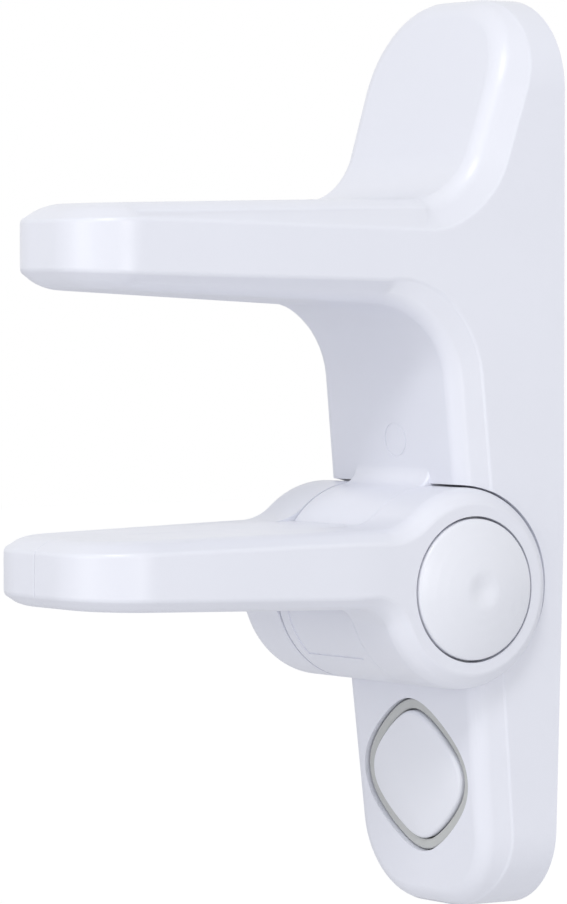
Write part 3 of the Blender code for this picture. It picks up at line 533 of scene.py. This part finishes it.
def makeBaseForm():
    # the side outline pulled across, cut by a front outline that narrows outwards
    draft = (base["halfWidth"] - base["armTipHalf"]) / base["armReach"]
    half = base["formHalf"]
    square = drawOutline([(x, z, 0) for x, z, radius in frontCorners()])
    front = pull(square, frontView, behind, base["formEnd"])
    for vert in front.verts:
        vert.co.x += draft * vert.co.y * math.copysign(1, vert.co.x)
    form = toPiece(pull(drawOutline(sideCorners()), sideView, -half, half), "baseForm")
    carve(form, [front], 'INTERSECT')
    return reshape(form, roundBase)


def makeKnuckle():
    front = (base["footDepth"], base["foot"])
    along = (base["lean"], 1)
    out = Vector((1, -base["lean"])).normalized()
    topCentre, topLine, topHub = hubBlend(front, along, out, hub["topBlend"], False)
    lowCentre, lowLine, lowHub = hubBlend(front, along, out, hub["lowBlend"], True)
    bm = bmesh.new()
    point = bm.verts.new((topLine.x * mm, topLine.y * mm, 0))
    point = sweep(bm, point, topCentre, topHub, 1)
    point = sweep(bm, point, hubCentre, lowHub, -1)
    point = sweep(bm, point, lowCentre, lowLine, 1)
    point = lineTo(bm, point, (lowLine.x - hub["rootDeep"], lowLine.y))
    # runs on just under the front, so the blend fades out
    under = topLine + hub["fadeRun"] * Vector(along) - hub["fadeSink"] * out
    point = lineTo(bm, point, (under.x - hub["rootDeep"], under.y))
    point = lineTo(bm, point, under)
    lineTo(bm, point, topLine)
    pull(closeOutline(bm), sideView, -hub["knuckleHalf"], hub["knuckleHalf"])
    return roundEdges(bm, hub["rimRound"])


baseShell = makeBaseForm()
carve(baseShell, [makeKnuckle()], 'UNION')
print("base form:", len(baseShell.data.polygons), "faces")

decoy = {
    "height": -67.6, "halfWidth": 17.3, "halfHeight": 16, "corner": 9.5, "bow": 6, "steps": 128,
    "ringWidth": 2.1, "ringSink": 0.9, "ringBack": 4.3, "ringRound": 0.35,
    "gap": 0.3, "wellBack": 9, "wellFront": 12, "shoulder": 0.1, "edgeRound": 0.9, "edgeSteps": 5,
    "dome": 0.75, "domeInset": 5.6, "domeSteps": 4, "domeEase": 0.85,
    "capSizes": (0.7, 0.5, 0.5), "capRise": 0.05, "wall": 1.8, "back": 6, "capBack": 2.4, "hollowBack": 12,
}
decoyView = onFront(0, decoy["height"])


def drawDecoy(inset):
    # a square on its corner with bowed sides, widened all round by its corner less the inset
    corner, bow, steps = decoy["corner"], decoy["bow"], decoy["steps"]
    wide, high = decoy["halfWidth"] - corner, decoy["halfHeight"] - corner
    points = []
    for step in range(steps):
        across, up = math.cos(2 * math.pi * step / steps), math.sin(2 * math.pi * step / steps)
        reach = (abs(wide * across) ** bow + abs(high * up) ** bow) ** (1 / bow)
        u = wide * math.copysign(abs(wide * across / reach) ** (bow - 1), across)
        v = high * math.copysign(abs(high * up / reach) ** (bow - 1), up)
        points.append((u + across * (corner - inset), v + up * (corner - inset), 0))
    return drawOutline(points)


panel = {"half": 9.6, "from": -15, "to": -46, "sink": 0.25, "above": 3}


def makePanel():
    # the shallow bare panel low on the front of the knuckle
    floor = hub["radius"] - panel["sink"]

    def around(radius, degrees):
        angle = math.radians(degrees)
        return hubCentre + radius * Vector((math.cos(angle), math.sin(angle)))

    bm = bmesh.new()
    begin = around(floor, panel["from"])
    point = bm.verts.new((begin.x * mm, begin.y * mm, 0))
    point = sweep(bm, point, hubCentre, around(floor, panel["to"]), -1)
    point = lineTo(bm, point, around(floor + panel["above"], panel["to"]))
    point = sweep(bm, point, hubCentre, around(floor + panel["above"], panel["from"]), 1)
    lineTo(bm, point, begin)
    return pull(closeOutline(bm), sideView, -panel["half"], panel["half"])


mark = {"x": 2.1, "height": 3, "outer": 3.7, "inner": 3.25, "sink": 0.12, "above": 2}


def makeMouldRing():
    # the plain round mark that the moulding tool leaves on the neck
    bm = drawCircle(mark["outer"], 40)
    width = mark["outer"] - mark["inner"]
    bmesh.ops.inset_region(bm, faces=bm.faces[:], thickness=width * mm, use_boundary=True)
    middle = min(bm.faces, key=lambda face: face.calc_center_median().length)
    bmesh.ops.delete(bm, geom=[middle], context='FACES')
    return pull(bm, onFront(mark["x"], mark["height"]), -mark["sink"], mark["above"])


screwSpots = [(side * x, z) for x, z in ((13, 78), (20.2, 10), (13.5, -81.5)) for side in (1, -1)]


def onDoor(x, z):
    # a drawing plane on the door's surface
    return Matrix.Translation((x * mm, 0, z * mm)) @ frontView


def frontPin(x, z, radius, start, end, segments=32):
    return pull(drawCircle(radius, segments), onDoor(x, z), start, end)


def span(side, inner, outer):
    return sorted((side * inner, side * outer))


def upperRoom():
    # the hollow of the upper half, one wall inside the outline
    wall, low, start = base["wall"], base["upperRoomLow"], base["roomStart"]
    top = base["top"] - base["upperRoomGap"]
    rise, run = base["armRootDepth"], base["armReach"] - base["armRootDepth"]
    reach = base["armReach"] - base["armTipCorner"]
    neck = meet((frontDepth(low) - wall, low), (base["lean"], 1),
                (rise, base["armRootBottom"] + wall), (run, base["armTipBottom"] - base["armRootBottom"]))
    shoulder = meet((base["topDepth"] - wall, base["top"]), (-base["topSlope"], 1),
                    (rise, base["armRootTop"] - wall), (run, base["armTipTop"] - base["armRootTop"]))
    return [(start, low, 0), (frontDepth(low) - wall, low, 0), (*neck, base["neckRound"] + wall),
            (reach, base["armTipBottom"] + wall, 0), (reach, base["armTipTop"] - wall, 0),
            (*shoulder, base["shoulderRound"] + wall), (base["topDepth"] - wall, top, 0), (start, top, 0)]


def lowerRoom():
    wall, start = base["wall"], base["roomStart"]
    top, low = base["lowerRoomTop"], base["foot"] + base["lowerRoomGap"]
    return [(start, low, 0), (frontDepth(low) - wall, low, 0),
            (frontDepth(top) - wall, top, 0), (start, top, 0)]


def baseTools():
    back, half, room = base["back"], hub["knuckleHalf"], base["roomHalf"]
    # the groove round each ring is closer to it at the back
    grooveView = Matrix.Translation((0, -hub["grooveShift"] * mm, 0)) @ hubView
    plateFront = back + base["plate"] + base["plateGap"]
    wider, wellBehind = -20, -40
    tools = [
        pull(drawOutline(frontCorners(base["rim"])), frontView, behind, plateFront),
        pull(drawOutline(frontCorners(wider)), frontView, wellBehind, back),  # all behind the base's back edge
        pull(drawOutline(upperRoom()), sideView, -room, room),
        pull(drawOutline(lowerRoom()), sideView, -room, room),
        pull(drawDecoy(-decoy["gap"]), decoyView, -decoy["wellBack"], decoy["wellFront"]),
        pull(drawCircle(hub["axleBore"], 32), hubView, -half, half),
        makePanel(),
        makeMouldRing(),
    ]
    for x, z in screwSpots:
        tools.append(frontPin(x, z, base["screwHole"], 0, base["screwHoleEnd"]))
    for side in (1, -1):
        tools += [
            pull(drawCircle(hub["radius"] + hub["groove"], 120), grooveView,
                 *span(side, half + hub["grooveGap"], far)),
            pull(drawCircle(hub["gearBore"], 48), hubView, *span(side, hub["webHalf"], outside)),
            pull(drawCircle(hub["collarBore"], 64), hubView, *span(side, hub["collarEnd"], outside + 1)),
        ]
    return tools


carve(baseShell, baseTools())
settle(baseShell, "baseShell", "base", ["base_housing"], shellWhite)
print("base carved:", len(baseShell.data.polygons), "faces")


# back plate, its screws and the foam pads

backPlate = {
    "inset": 1.7, "edgeRound": 0.4, "postRadius": 7, "postStart": 1, "postEnd": 5.8,
    "head": 3.2, "headDeep": 0.6, "shank": 1.6, "shankFrom": 1.8, "wellEnd": 14,
}


def makeBackPlate():
    back, thick = base["back"], base["plate"]
    bm = pull(drawOutline(frontCorners(backPlate["inset"])), frontView, back, back + thick)
    piece = toPiece(roundEdges(bm, backPlate["edgeRound"]), "backPlate")
    postHeight = decoy["height"] + base["lean"] * (frontDepth(decoy["height"]) - back)
    post = frontPin(0, postHeight, backPlate["postRadius"],
                    back + backPlate["postStart"], backPlate["postEnd"], 48)
    carve(piece, [post], 'UNION')
    head, shank, end = backPlate["head"], backPlate["shank"], backPlate["wellEnd"]
    well = [(0, 0, 0), (head, 0, 0), (head, back + backPlate["headDeep"], 0),
            (shank, back + backPlate["shankFrom"], 0), (shank, end, 0), (0, end, 0)]
    wells = [turnProfile(well, onDoor(x, z), 40) for x, z in screwSpots]
    return carve(piece, wells)


settle(makeBackPlate(), "rearPlate", "base", ["back_plate"], plateWhite)

screw = {
    "head": 2.9, "headRound": 0.12, "headEdge": 0.3, "headHeight": 1.5,
    "neckRound": 0.2, "shank": 1.3, "length": 9, "point": 1.6,
    "cross": 0.42, "crossReach": 1.7, "crossDeep": 1.1, "crossRound": 0.25, "crossTaper": 0.6,
    "crossTurn": 0.5, "crossAbove": 2,
}


def makeScrew(number, x, z):
    view = Matrix.Translation((x * mm, -base["back"] * mm, z * mm)) @ frontView
    head, shank, length = screw["head"], screw["shank"], screw["length"]
    profile = [(0, 0, 0), (head, 0, screw["headRound"]), (head, screw["headEdge"], 0),
               (shank, screw["headHeight"], screw["neckRound"]),
               (shank, length - screw["point"], 0), (0, length, 0)]
    piece = toPiece(turnProfile(profile, view, 40), "screw")
    reach, thick, soft = screw["crossReach"], screw["cross"], screw["crossRound"]
    cross = drawOutline([
        (reach, thick, 0), (thick, thick, soft), (thick, reach, 0),
        (-thick, reach, 0), (-thick, thick, soft), (-reach, thick, 0),
        (-reach, -thick, 0), (-thick, -thick, soft), (-thick, -reach, 0),
        (thick, -reach, 0), (thick, -thick, soft), (reach, -thick, 0)], 3)
    turn = Matrix.Rotation(screw["crossTurn"] * number, 3, 'Z')  # no two screws stop at the same turn
    bmesh.ops.rotate(cross, verts=cross.verts, cent=(0, 0, 0), matrix=turn)
    pull(cross, Matrix(), -screw["crossAbove"], screw["crossDeep"])
    deep = [vert for vert in cross.verts if vert.co.z > 0]
    bmesh.ops.scale(cross, verts=deep, vec=(screw["crossTaper"], screw["crossTaper"], 1))
    bmesh.ops.transform(cross, matrix=view, verts=cross.verts)
    carve(piece, [cross])
    settle(piece, f"backScrew{number}", "base", [f"back_screw_{number}"], zincSteel)


for number, (x, z) in enumerate(screwSpots, 1):
    makeScrew(number, x, z)

pad = {"halfWidth": 16.5, "height": 44, "pitch": 48, "corner": 3, "thick": 1, "edgeRound": 0.3}


def makePad(name, level):
    half, tall, corner = pad["halfWidth"], pad["height"] / 2, pad["corner"]
    middle = level * pad["pitch"]
    bm = pull(drawOutline([(half, middle - tall, corner), (half, middle + tall, corner),
                           (-half, middle + tall, corner), (-half, middle - tall, corner)], 6),
              frontView, 0, pad["thick"])
    piece = toPiece(roundEdges(bm, pad["edgeRound"]), "pad")
    settle(piece, f"foamPad{name.title()}", "base", [f"adhesive_pad_{name}"], padFoam)


for name, level in (("upper", 1), ("middle", 0), ("lower", -1)):
    makePad(name, level)
print("back plate, screws and pads ready")


# lower arm, moulded in two halves that meet on the middle plane

arm = {
    "reach": 115.4, "tipHalf": 21, "tipCorner": 16, "rootDepth": 50, "taperStart": 57,
    "rootTop": 12.8, "rootBottom": -3.4, "tipTop": 11.7, "tipBottom": -2.0,
    "topBlend": 13, "lowBlend": 7, "ringFace": 28, "ringInner": 12.9, "slabGap": 0.4,
    "seam": 0.1, "seamRound": 0.45, "bore": 15, "flangeBore": 16, "flangeEnd": 24.9,
    "plateSeat": 18.7, "plateEnd": 15.9, "plateGap": 0.3, "rimRound": 0.8, "rimSlack": 0.05, "gapBack": 12,
    # this arm has no top and foot, so endFrom is out of reach
    "edge": {"chamfer": 4.2, "inset": 2.6, "topInset": 2.6, "drop": 3, "endInset": 2.6, "endDrop": 3,
             "armTopInset": 3.8, "armLowInset": 3.4, "armTopDrop": 2.5, "armLowDrop": 2.4, "tipFrom": 108,
             "endFrom": far, "flatFrom": 44, "flatTo": 57, "wallSoften": 0.6, "flatSoften": 1.8},
}


def armLine(which):
    tip = Vector((arm["reach"], hub["height"] + arm["tip" + which]))
    root = Vector((arm["rootDepth"], hub["height"] + arm["root" + which]))
    return tip, root


def drawArmSide():
    topTip, topRoot = armLine("Top")
    lowTip, lowRoot = armLine("Bottom")
    alongTop = (topRoot - topTip).normalized()
    alongLow = (lowRoot - lowTip).normalized()
    topSide, lowSide = Vector((alongTop.y, -alongTop.x)), Vector((-alongLow.y, alongLow.x))
    topCentre, topLine, topHub = hubBlend(topTip, alongTop, topSide, arm["topBlend"], True)
    lowCentre, lowLine, lowHub = hubBlend(lowTip, alongLow, lowSide, arm["lowBlend"], True)
    bm = bmesh.new()
    point = bm.verts.new((lowTip.x * mm, lowTip.y * mm, 0))
    point = lineTo(bm, point, topTip)
    point = lineTo(bm, point, topLine)
    point = sweep(bm, point, topCentre, topHub, -1)
    point = sweep(bm, point, hubCentre, lowHub, 1)
    point = sweep(bm, point, lowCentre, lowLine, -1)
    lineTo(bm, point, lowTip)
    return closeOutline(bm)


def makeArmForm():
    face, taper = arm["ringFace"], arm["taperStart"]
    tip, reach, corner = arm["tipHalf"], arm["reach"], arm["tipCorner"]
    plan = [(-face, behind, 0), (face, behind, 0), (face, taper, 0),
            (tip, reach, corner), (-tip, reach, corner), (-face, taper, 0)]
    form = toPiece(pull(drawArmSide(), sideView, -far, far), "armForm")
    carve(form, [pull(drawOutline(plan), planView, -far, far)], 'INTERSECT')
    return reshape(form, lambda bm: easeEdges(bm, arm["edge"]))


def middleGap():
    # between the rings only the slab itself reaches back to the knuckle
    inner = arm["ringInner"]
    front = hub["depth"] + hub["radius"] + arm["topBlend"]
    back = hub["depth"] - hub["radius"] - arm["gapBack"]
    tools = [pull(drawCircle(hub["radius"] + arm["slabGap"], 120), hubView, -inner, inner)]
    for which, turn in (("Top", 1), ("Bottom", -1)):
        tip, root = armLine(which)
        level = meet(tip, root - tip, (front, 0), (0, 1))
        end = meet(tip, root - tip, (back, 0), (0, 1))
        rise = turn * 2 * hub["radius"]
        corners = [(*level, 0), (*end, 0), (end.x, end.y + rise, 0), (level.x, level.y + rise, 0)]
        tools.append(pull(drawOutline(corners), sideView, -inner, inner))
    low, high = hub["height"] - hub["radius"], hub["height"] + hub["radius"]
    box = [(back, low, 0), (hub["depth"], low, 0), (hub["depth"], high, 0), (back, high, 0)]
    tools.append(pull(drawOutline(box), sideView, -inner, inner))
    return tools


def softenSeam(bm, side):
    # a small round along the line where the halves meet
    plane = side * arm["seam"] / 2 * mm
    rim = [edge for edge in bm.edges if all(abs(vert.co.x - plane) < touch for vert in edge.verts)
           and edge.is_manifold and edge.calc_face_angle(0) > cornerAngle]
    bevelEdges(bm, rim, arm["seamRound"], 3, clamp=True)


def softenRing(bm, side):
    # the ring's edge beside the knuckle
    plane = side * arm["ringInner"] * mm
    hubPoint = hubView.translation

    def onRim(vert):
        fromAxis = (vert.co - hubPoint).yz.length
        return abs(vert.co.x - plane) < touch and fromAxis > (hub["radius"] - arm["rimSlack"]) * mm

    rim = [edge for edge in bm.edges if all(onRim(vert) for vert in edge.verts) and edge.is_manifold
           and edge.calc_face_angle_signed() > cornerAngle]
    bevelEdges(bm, rim, arm["rimRound"], 3, clamp=True)


def makeArmHalf(name, side, form):
    half = bpy.data.objects.new("armHalf", form.data.copy())
    bpy.context.scene.collection.objects.link(half)
    otherSide = [(behind, -far, 0), (far, -far, 0), (far, far, 0), (behind, far, 0)]
    tools = middleGap() + [
        pull(drawOutline(otherSide), sideView, *span(side, arm["seam"] / 2, -far)),
        pull(drawCircle(arm["plateSeat"], 64), hubView, *span(side, 0, arm["plateEnd"] + arm["plateGap"])),
        pull(drawCircle(arm["flangeBore"]), hubView, *span(side, arm["plateEnd"], arm["flangeEnd"])),
        pull(drawCircle(arm["bore"]), hubView, *span(side, arm["plateEnd"], outside + 1)),
    ]
    carve(half, tools)
    reshape(half, lambda bm: softenSeam(bm, side))
    reshape(half, lambda bm: softenRing(bm, side))
    settle(half, f"armHalf{name.title()}", "lower_arm", [f"lower_arm_{name}"], armWhite)


armForm = makeArmForm()
for name, side in (("right", 1), ("left", -1)):
    makeArmHalf(name, side, armForm)
bpy.data.objects.remove(armForm)
print("lower arm ready")


# squeeze buttons

button = {
    "radius": 14.5, "edge": 28.4, "crown": 31.3, "edgeRound": 0.7,
    "dimple": 4.5, "dimpleDeep": 0.8, "dimpleSteps": 10, "domeRings": (6, 8.5, 11, 13), "domeRound": 8,
    "stop": 24.6, "flange": 15.5, "skirtEnd": 22.8, "skirt": 12.7, "boss": 5, "bossEnd": 17.4, "bore": 3.3,
    "under": 26.6,
}


def makeButton(name, side):
    rise = button["crown"] - button["edge"]
    ball = (button["radius"] ** 2 + rise ** 2) / (2 * rise)

    def dome(radius):
        return button["crown"] - ball + math.sqrt(ball ** 2 - radius ** 2)

    def dip(share):
        radius = button["dimple"] * share
        return radius, dome(radius) - button["dimpleDeep"] * (1 + math.cos(math.pi * share)) / 2, 0

    steps = button["dimpleSteps"]
    profile = [dip(step / steps) for step in range(steps + 1)]
    profile += [(radius, dome(radius), button["domeRound"]) for radius in button["domeRings"]]
    profile += [
        (button["radius"], button["edge"], button["edgeRound"]), (button["radius"], button["stop"], 0),
        (button["flange"], button["stop"], 0), (button["flange"], button["skirtEnd"], 0),
        (button["skirt"], button["skirtEnd"], 0), (button["skirt"], button["under"], 0),
        (button["boss"], button["under"], 0), (button["boss"], button["bossEnd"], 0),
        (button["bore"], button["bossEnd"], 0), (button["bore"], button["under"], 0), (0, button["under"], 0),
    ]
    view = hubView @ Matrix.Diagonal((1, 1, side, 1))
    piece = toPiece(turnProfile(profile, view), "button")
    settle(piece, f"squeezeButton{name.title()}", f"{name}_button", [f"release_button_{name}"],
           buttonWhite)


for name, side in (("right", 1), ("left", -1)):
    makeButton(name, side)
print("squeeze buttons ready")


# decoy button and its grey surround

def makeDecoyRing():
    bm = drawDecoy(0)
    bmesh.ops.inset_region(bm, faces=bm.faces[:], thickness=decoy["ringWidth"] * mm,
                           use_boundary=True, use_even_offset=True)
    middle = max(bm.faces, key=lambda face: len(face.verts))
    bmesh.ops.delete(bm, geom=[middle], context='FACES')
    pull(bm, decoyView, -decoy["ringBack"], -decoy["ringSink"])
    bmesh.ops.recalc_face_normals(bm, faces=bm.faces)
    return toPiece(roundEdges(bm, decoy["ringRound"], merge=False), "decoyRing")


def makeDecoyButton():
    # steps in from the outline: a rounded edge, then a low dome, hollow behind
    inset, edgeRound = decoy["ringWidth"] + decoy["gap"], decoy["edgeRound"]
    bm = pull(drawDecoy(inset), decoyView, -decoy["back"], decoy["shoulder"] - edgeRound)
    outward = (decoyView.to_3x3() @ Vector((0, 0, 1))).normalized()
    front = max(bm.faces, key=lambda face: face.calc_center_median().dot(outward))
    shoulder, ease = decoy["shoulder"], decoy["domeEase"]
    steps = []
    for step in range(1, decoy["edgeSteps"] + 1):
        angle = math.radians(90 / decoy["edgeSteps"] * step)
        steps.append((edgeRound * (1 - math.cos(angle)), shoulder - edgeRound * (1 - math.sin(angle))))
    for step in range(1, decoy["domeSteps"] + 1):
        share = step / decoy["domeSteps"]
        steps.append((edgeRound + share * decoy["domeInset"],
                      shoulder + decoy["dome"] * share * (1 + ease - ease * share)))
    inward, height = 0, shoulder - edgeRound
    for newInward, newHeight in steps:
        bmesh.ops.inset_region(bm, faces=[front], thickness=(newInward - inward) * mm, use_even_offset=True)
        bmesh.ops.translate(bm, verts=front.verts, vec=outward * (newHeight - height) * mm)
        inward, height = newInward, newHeight
    for size in decoy["capSizes"]:
        raised = bmesh.ops.extrude_discrete_faces(bm, faces=[front])
        front = raised["faces"][0]
        middle = Matrix.Translation(-front.calc_center_median())
        bmesh.ops.scale(bm, verts=front.verts, vec=(size, size, size), space=middle)
        bmesh.ops.translate(bm, verts=front.verts, vec=outward * decoy["capRise"] * mm)
    piece = toPiece(bm, "decoyButton")
    hollow = pull(drawDecoy(inset + decoy["wall"]), decoyView, -decoy["hollowBack"], -decoy["capBack"])
    return carve(piece, [hollow])


settle(makeDecoyRing(), "decoySurround", "base", ["decoy_ring"], surroundGrey)
settle(makeDecoyButton(), "decoyButton", "decoy", ["decoy_button"], buttonWhite)
print("decoy ready")


# springs for the gears and the decoy, each built as one fixed coil

springs = [
    {"name": "lockSpringRight", "node": "lock_spring_right", "joint": "right_gear_slide", "view": hubView,
     "from": 1.8, "to": 7.9, "travel": 3.2, "radius": 4.7, "wire": 0.45, "turns": 4},
    {"name": "lockSpringLeft", "node": "lock_spring_left", "joint": "left_gear_slide", "view": hubView,
     "from": -1.8, "to": -7.9, "travel": 3.2, "radius": 4.7, "wire": 0.45, "turns": 4},
    {"name": "decoySpring", "node": "decoy_spring", "joint": "decoy_press", "view": decoyView,
     "from": -13.1, "to": -2.8, "travel": 2, "radius": 5, "wire": 0.45, "turns": 4},
]


def makeSpring(spring):
    # a wire's round end is carried round and along, from the held end to the pushed end
    stepsPerTurn, wireSides = 24, 10
    wire, steps = spring["wire"], spring["turns"] * stepsPerTurn
    length = abs(spring["to"] - spring["from"])
    bm = bmesh.new()
    upright = Matrix.Rotation(math.radians(90), 4, 'X')
    start = Matrix.Translation((spring["radius"] * mm, 0, wire * mm)) @ upright
    bmesh.ops.create_circle(bm, cap_ends=True, segments=wireSides, radius=wire * mm, matrix=start)
    rise = (length - 2 * wire) * mm / steps
    bmesh.ops.spin(bm, geom=bm.verts[:] + bm.edges[:] + bm.faces[:], cent=(0, 0, 0), axis=(0, 0, 1),
                   dvec=(0, 0, rise), angle=2 * math.pi * spring["turns"], steps=steps)
    along = Matrix.Diagonal((1, 1, math.copysign(1, spring["to"] - spring["from"]), 1))
    place = spring["view"] @ Matrix.Translation((0, 0, spring["from"] * mm)) @ along
    bmesh.ops.transform(bm, matrix=place, verts=bm.verts)
    bmesh.ops.recalc_face_normals(bm, faces=bm.faces)
    piece = settle(toPiece(bm, "spring"), spring["name"], "base", [spring["node"]], zincSteel)
    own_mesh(piece)


for spring in springs:
    makeSpring(spring)
print("springs ready")


# inner pieces keep their CAD shape and get a finish

innerFinishes = {
    "hub_axle": zincSteel, "clutch_plate_right": innerNylon, "clutch_plate_left": innerNylon,
    "lock_gear_right": innerNylon, "lock_gear_left": innerNylon,
}
for node, material in innerFinishes.items():
    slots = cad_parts[node].data.materials
    slots.clear()
    slots.append(material)


# floor, light and camera

studio = {
    "floorDrop": 0.45, "floorSize": 8, "floorColour": (0.85, 0.85, 0.87), "floorRoughness": 0.9,
    "floorGlow": 1.15, "floorGlowShare": 0.75, "ambient": 0.65, "tint": (0.97, 0.98, 1),
    "lampCentre": (0, -0.055, 0), "lampAim": (0, -0.05, 0),
}
lamps = [
    {"name": "frontLamp", "turn": 8, "rise": 10, "far": 1.5, "size": 0.9, "power": 3.7, "colour": (1, 1, 1)},
    {"name": "highLamp", "turn": 45, "rise": 45, "far": 1.5, "size": 0.45, "power": 6, "colour": (1, 1, 1)},
    {"name": "sideLamp", "turn": 82, "rise": 5, "far": 1.5, "size": 0.45, "power": 2.6, "colour": (1, 1, 1)},
]


def aroundLock(turn, rise, distance, centre):
    # a point seen from the front, turned to the right and raised
    a, b = math.radians(turn), math.radians(rise)
    direction = Vector((math.sin(a) * math.cos(b), -math.cos(a) * math.cos(b), math.sin(b)))
    return Vector(centre) + distance * direction


def hang(name, data, place, aim):
    # a lamp or a camera at a place, pointed at another
    holder = bpy.data.objects.new(name, data)
    holder.location = place
    holder.rotation_euler = (Vector(aim) - holder.location).to_track_quat('-Z', 'Y').to_euler()
    bpy.context.scene.collection.objects.link(holder)
    return holder


def addLamp(look):
    lamp = bpy.data.lights.new(look["name"], 'AREA')
    lamp.shape = 'DISK'
    lamp.size = look["size"]
    lamp.energy = look["power"]
    lamp.color = look["colour"]
    place = aroundLock(look["turn"], look["rise"], look["far"], studio["lampCentre"])
    hang(look["name"], lamp, place, studio["lampAim"])


def makeFloor():
    bm = bmesh.new()
    bmesh.ops.create_grid(bm, x_segments=2, y_segments=2, size=studio["floorSize"])
    bmesh.ops.translate(bm, verts=bm.verts, vec=(0, 0, -studio["floorDrop"]))
    floor = toPiece(bm, "floor")
    material, tree, shader = newFinish("paleFloor")
    shader.inputs["Base Color"].default_value = (*studio["floorColour"], 1)
    shader.inputs["Roughness"].default_value = studio["floorRoughness"]
    glow = addNode(tree, 'ShaderNodeEmission', {"Strength": studio["floorGlow"]})
    paths = addNode(tree, 'ShaderNodeLightPath')
    share = addNode(tree, 'ShaderNodeMath', {1: studio["floorGlowShare"]}, operation='MULTIPLY')
    mix = addNode(tree, 'ShaderNodeMixShader')
    link = linker(tree)
    link(paths, "Is Camera Ray", share, 0)
    link(share, 0, mix, 0)
    link(shader, 0, mix, 1)
    link(glow, 0, mix, 2)
    link(mix, 0, tree.nodes["Material Output"], "Surface")
    floor.data.materials.append(material)


def makeWorld():
    world = bpy.data.worlds.new("studio")
    bpy.context.scene.world = world
    world.use_nodes = True
    tree = world.node_tree
    soft = tree.nodes["Background"]
    soft.inputs["Color"].default_value = (*studio["tint"], 1)
    soft.inputs["Strength"].default_value = studio["ambient"]
    white = addNode(tree, 'ShaderNodeBackground', {"Color": (1, 1, 1, 1), "Strength": 1})
    paths = addNode(tree, 'ShaderNodeLightPath')
    shown = addNode(tree, 'ShaderNodeMath', operation='MAXIMUM')
    clear = addNode(tree, 'ShaderNodeMath', operation='MAXIMUM')
    mix = addNode(tree, 'ShaderNodeMixShader')
    link = linker(tree)
    link(paths, "Is Camera Ray", shown, 0)
    link(paths, "Is Glossy Ray", shown, 1)
    link(shown, 0, clear, 0)
    link(paths, "Is Transmission Ray", clear, 1)
    link(clear, 0, mix, 0)
    link(soft, 0, mix, 1)
    link(white, 0, mix, 2)
    link(mix, 0, tree.nodes["World Output"], "Surface")


cameraView = {
    "turn": 54, "rise": 1.95, "distance": 0.92, "lens": 178.4, "sensor": 36, "aim": (0, -0.0545, 0.001),
}


def makeCamera():
    camera = bpy.data.cameras.new("camera")
    camera.lens = cameraView["lens"]
    camera.sensor_width = cameraView["sensor"]
    place = aroundLock(cameraView["turn"], cameraView["rise"], cameraView["distance"], cameraView["aim"])
    bpy.context.scene.camera = hang("camera", camera, place, cameraView["aim"])


makeFloor()
makeWorld()
for look in lamps:
    addLamp(look)
makeCamera()
bpy.context.scene.view_settings.view_transform = 'Standard'
print("studio ready")
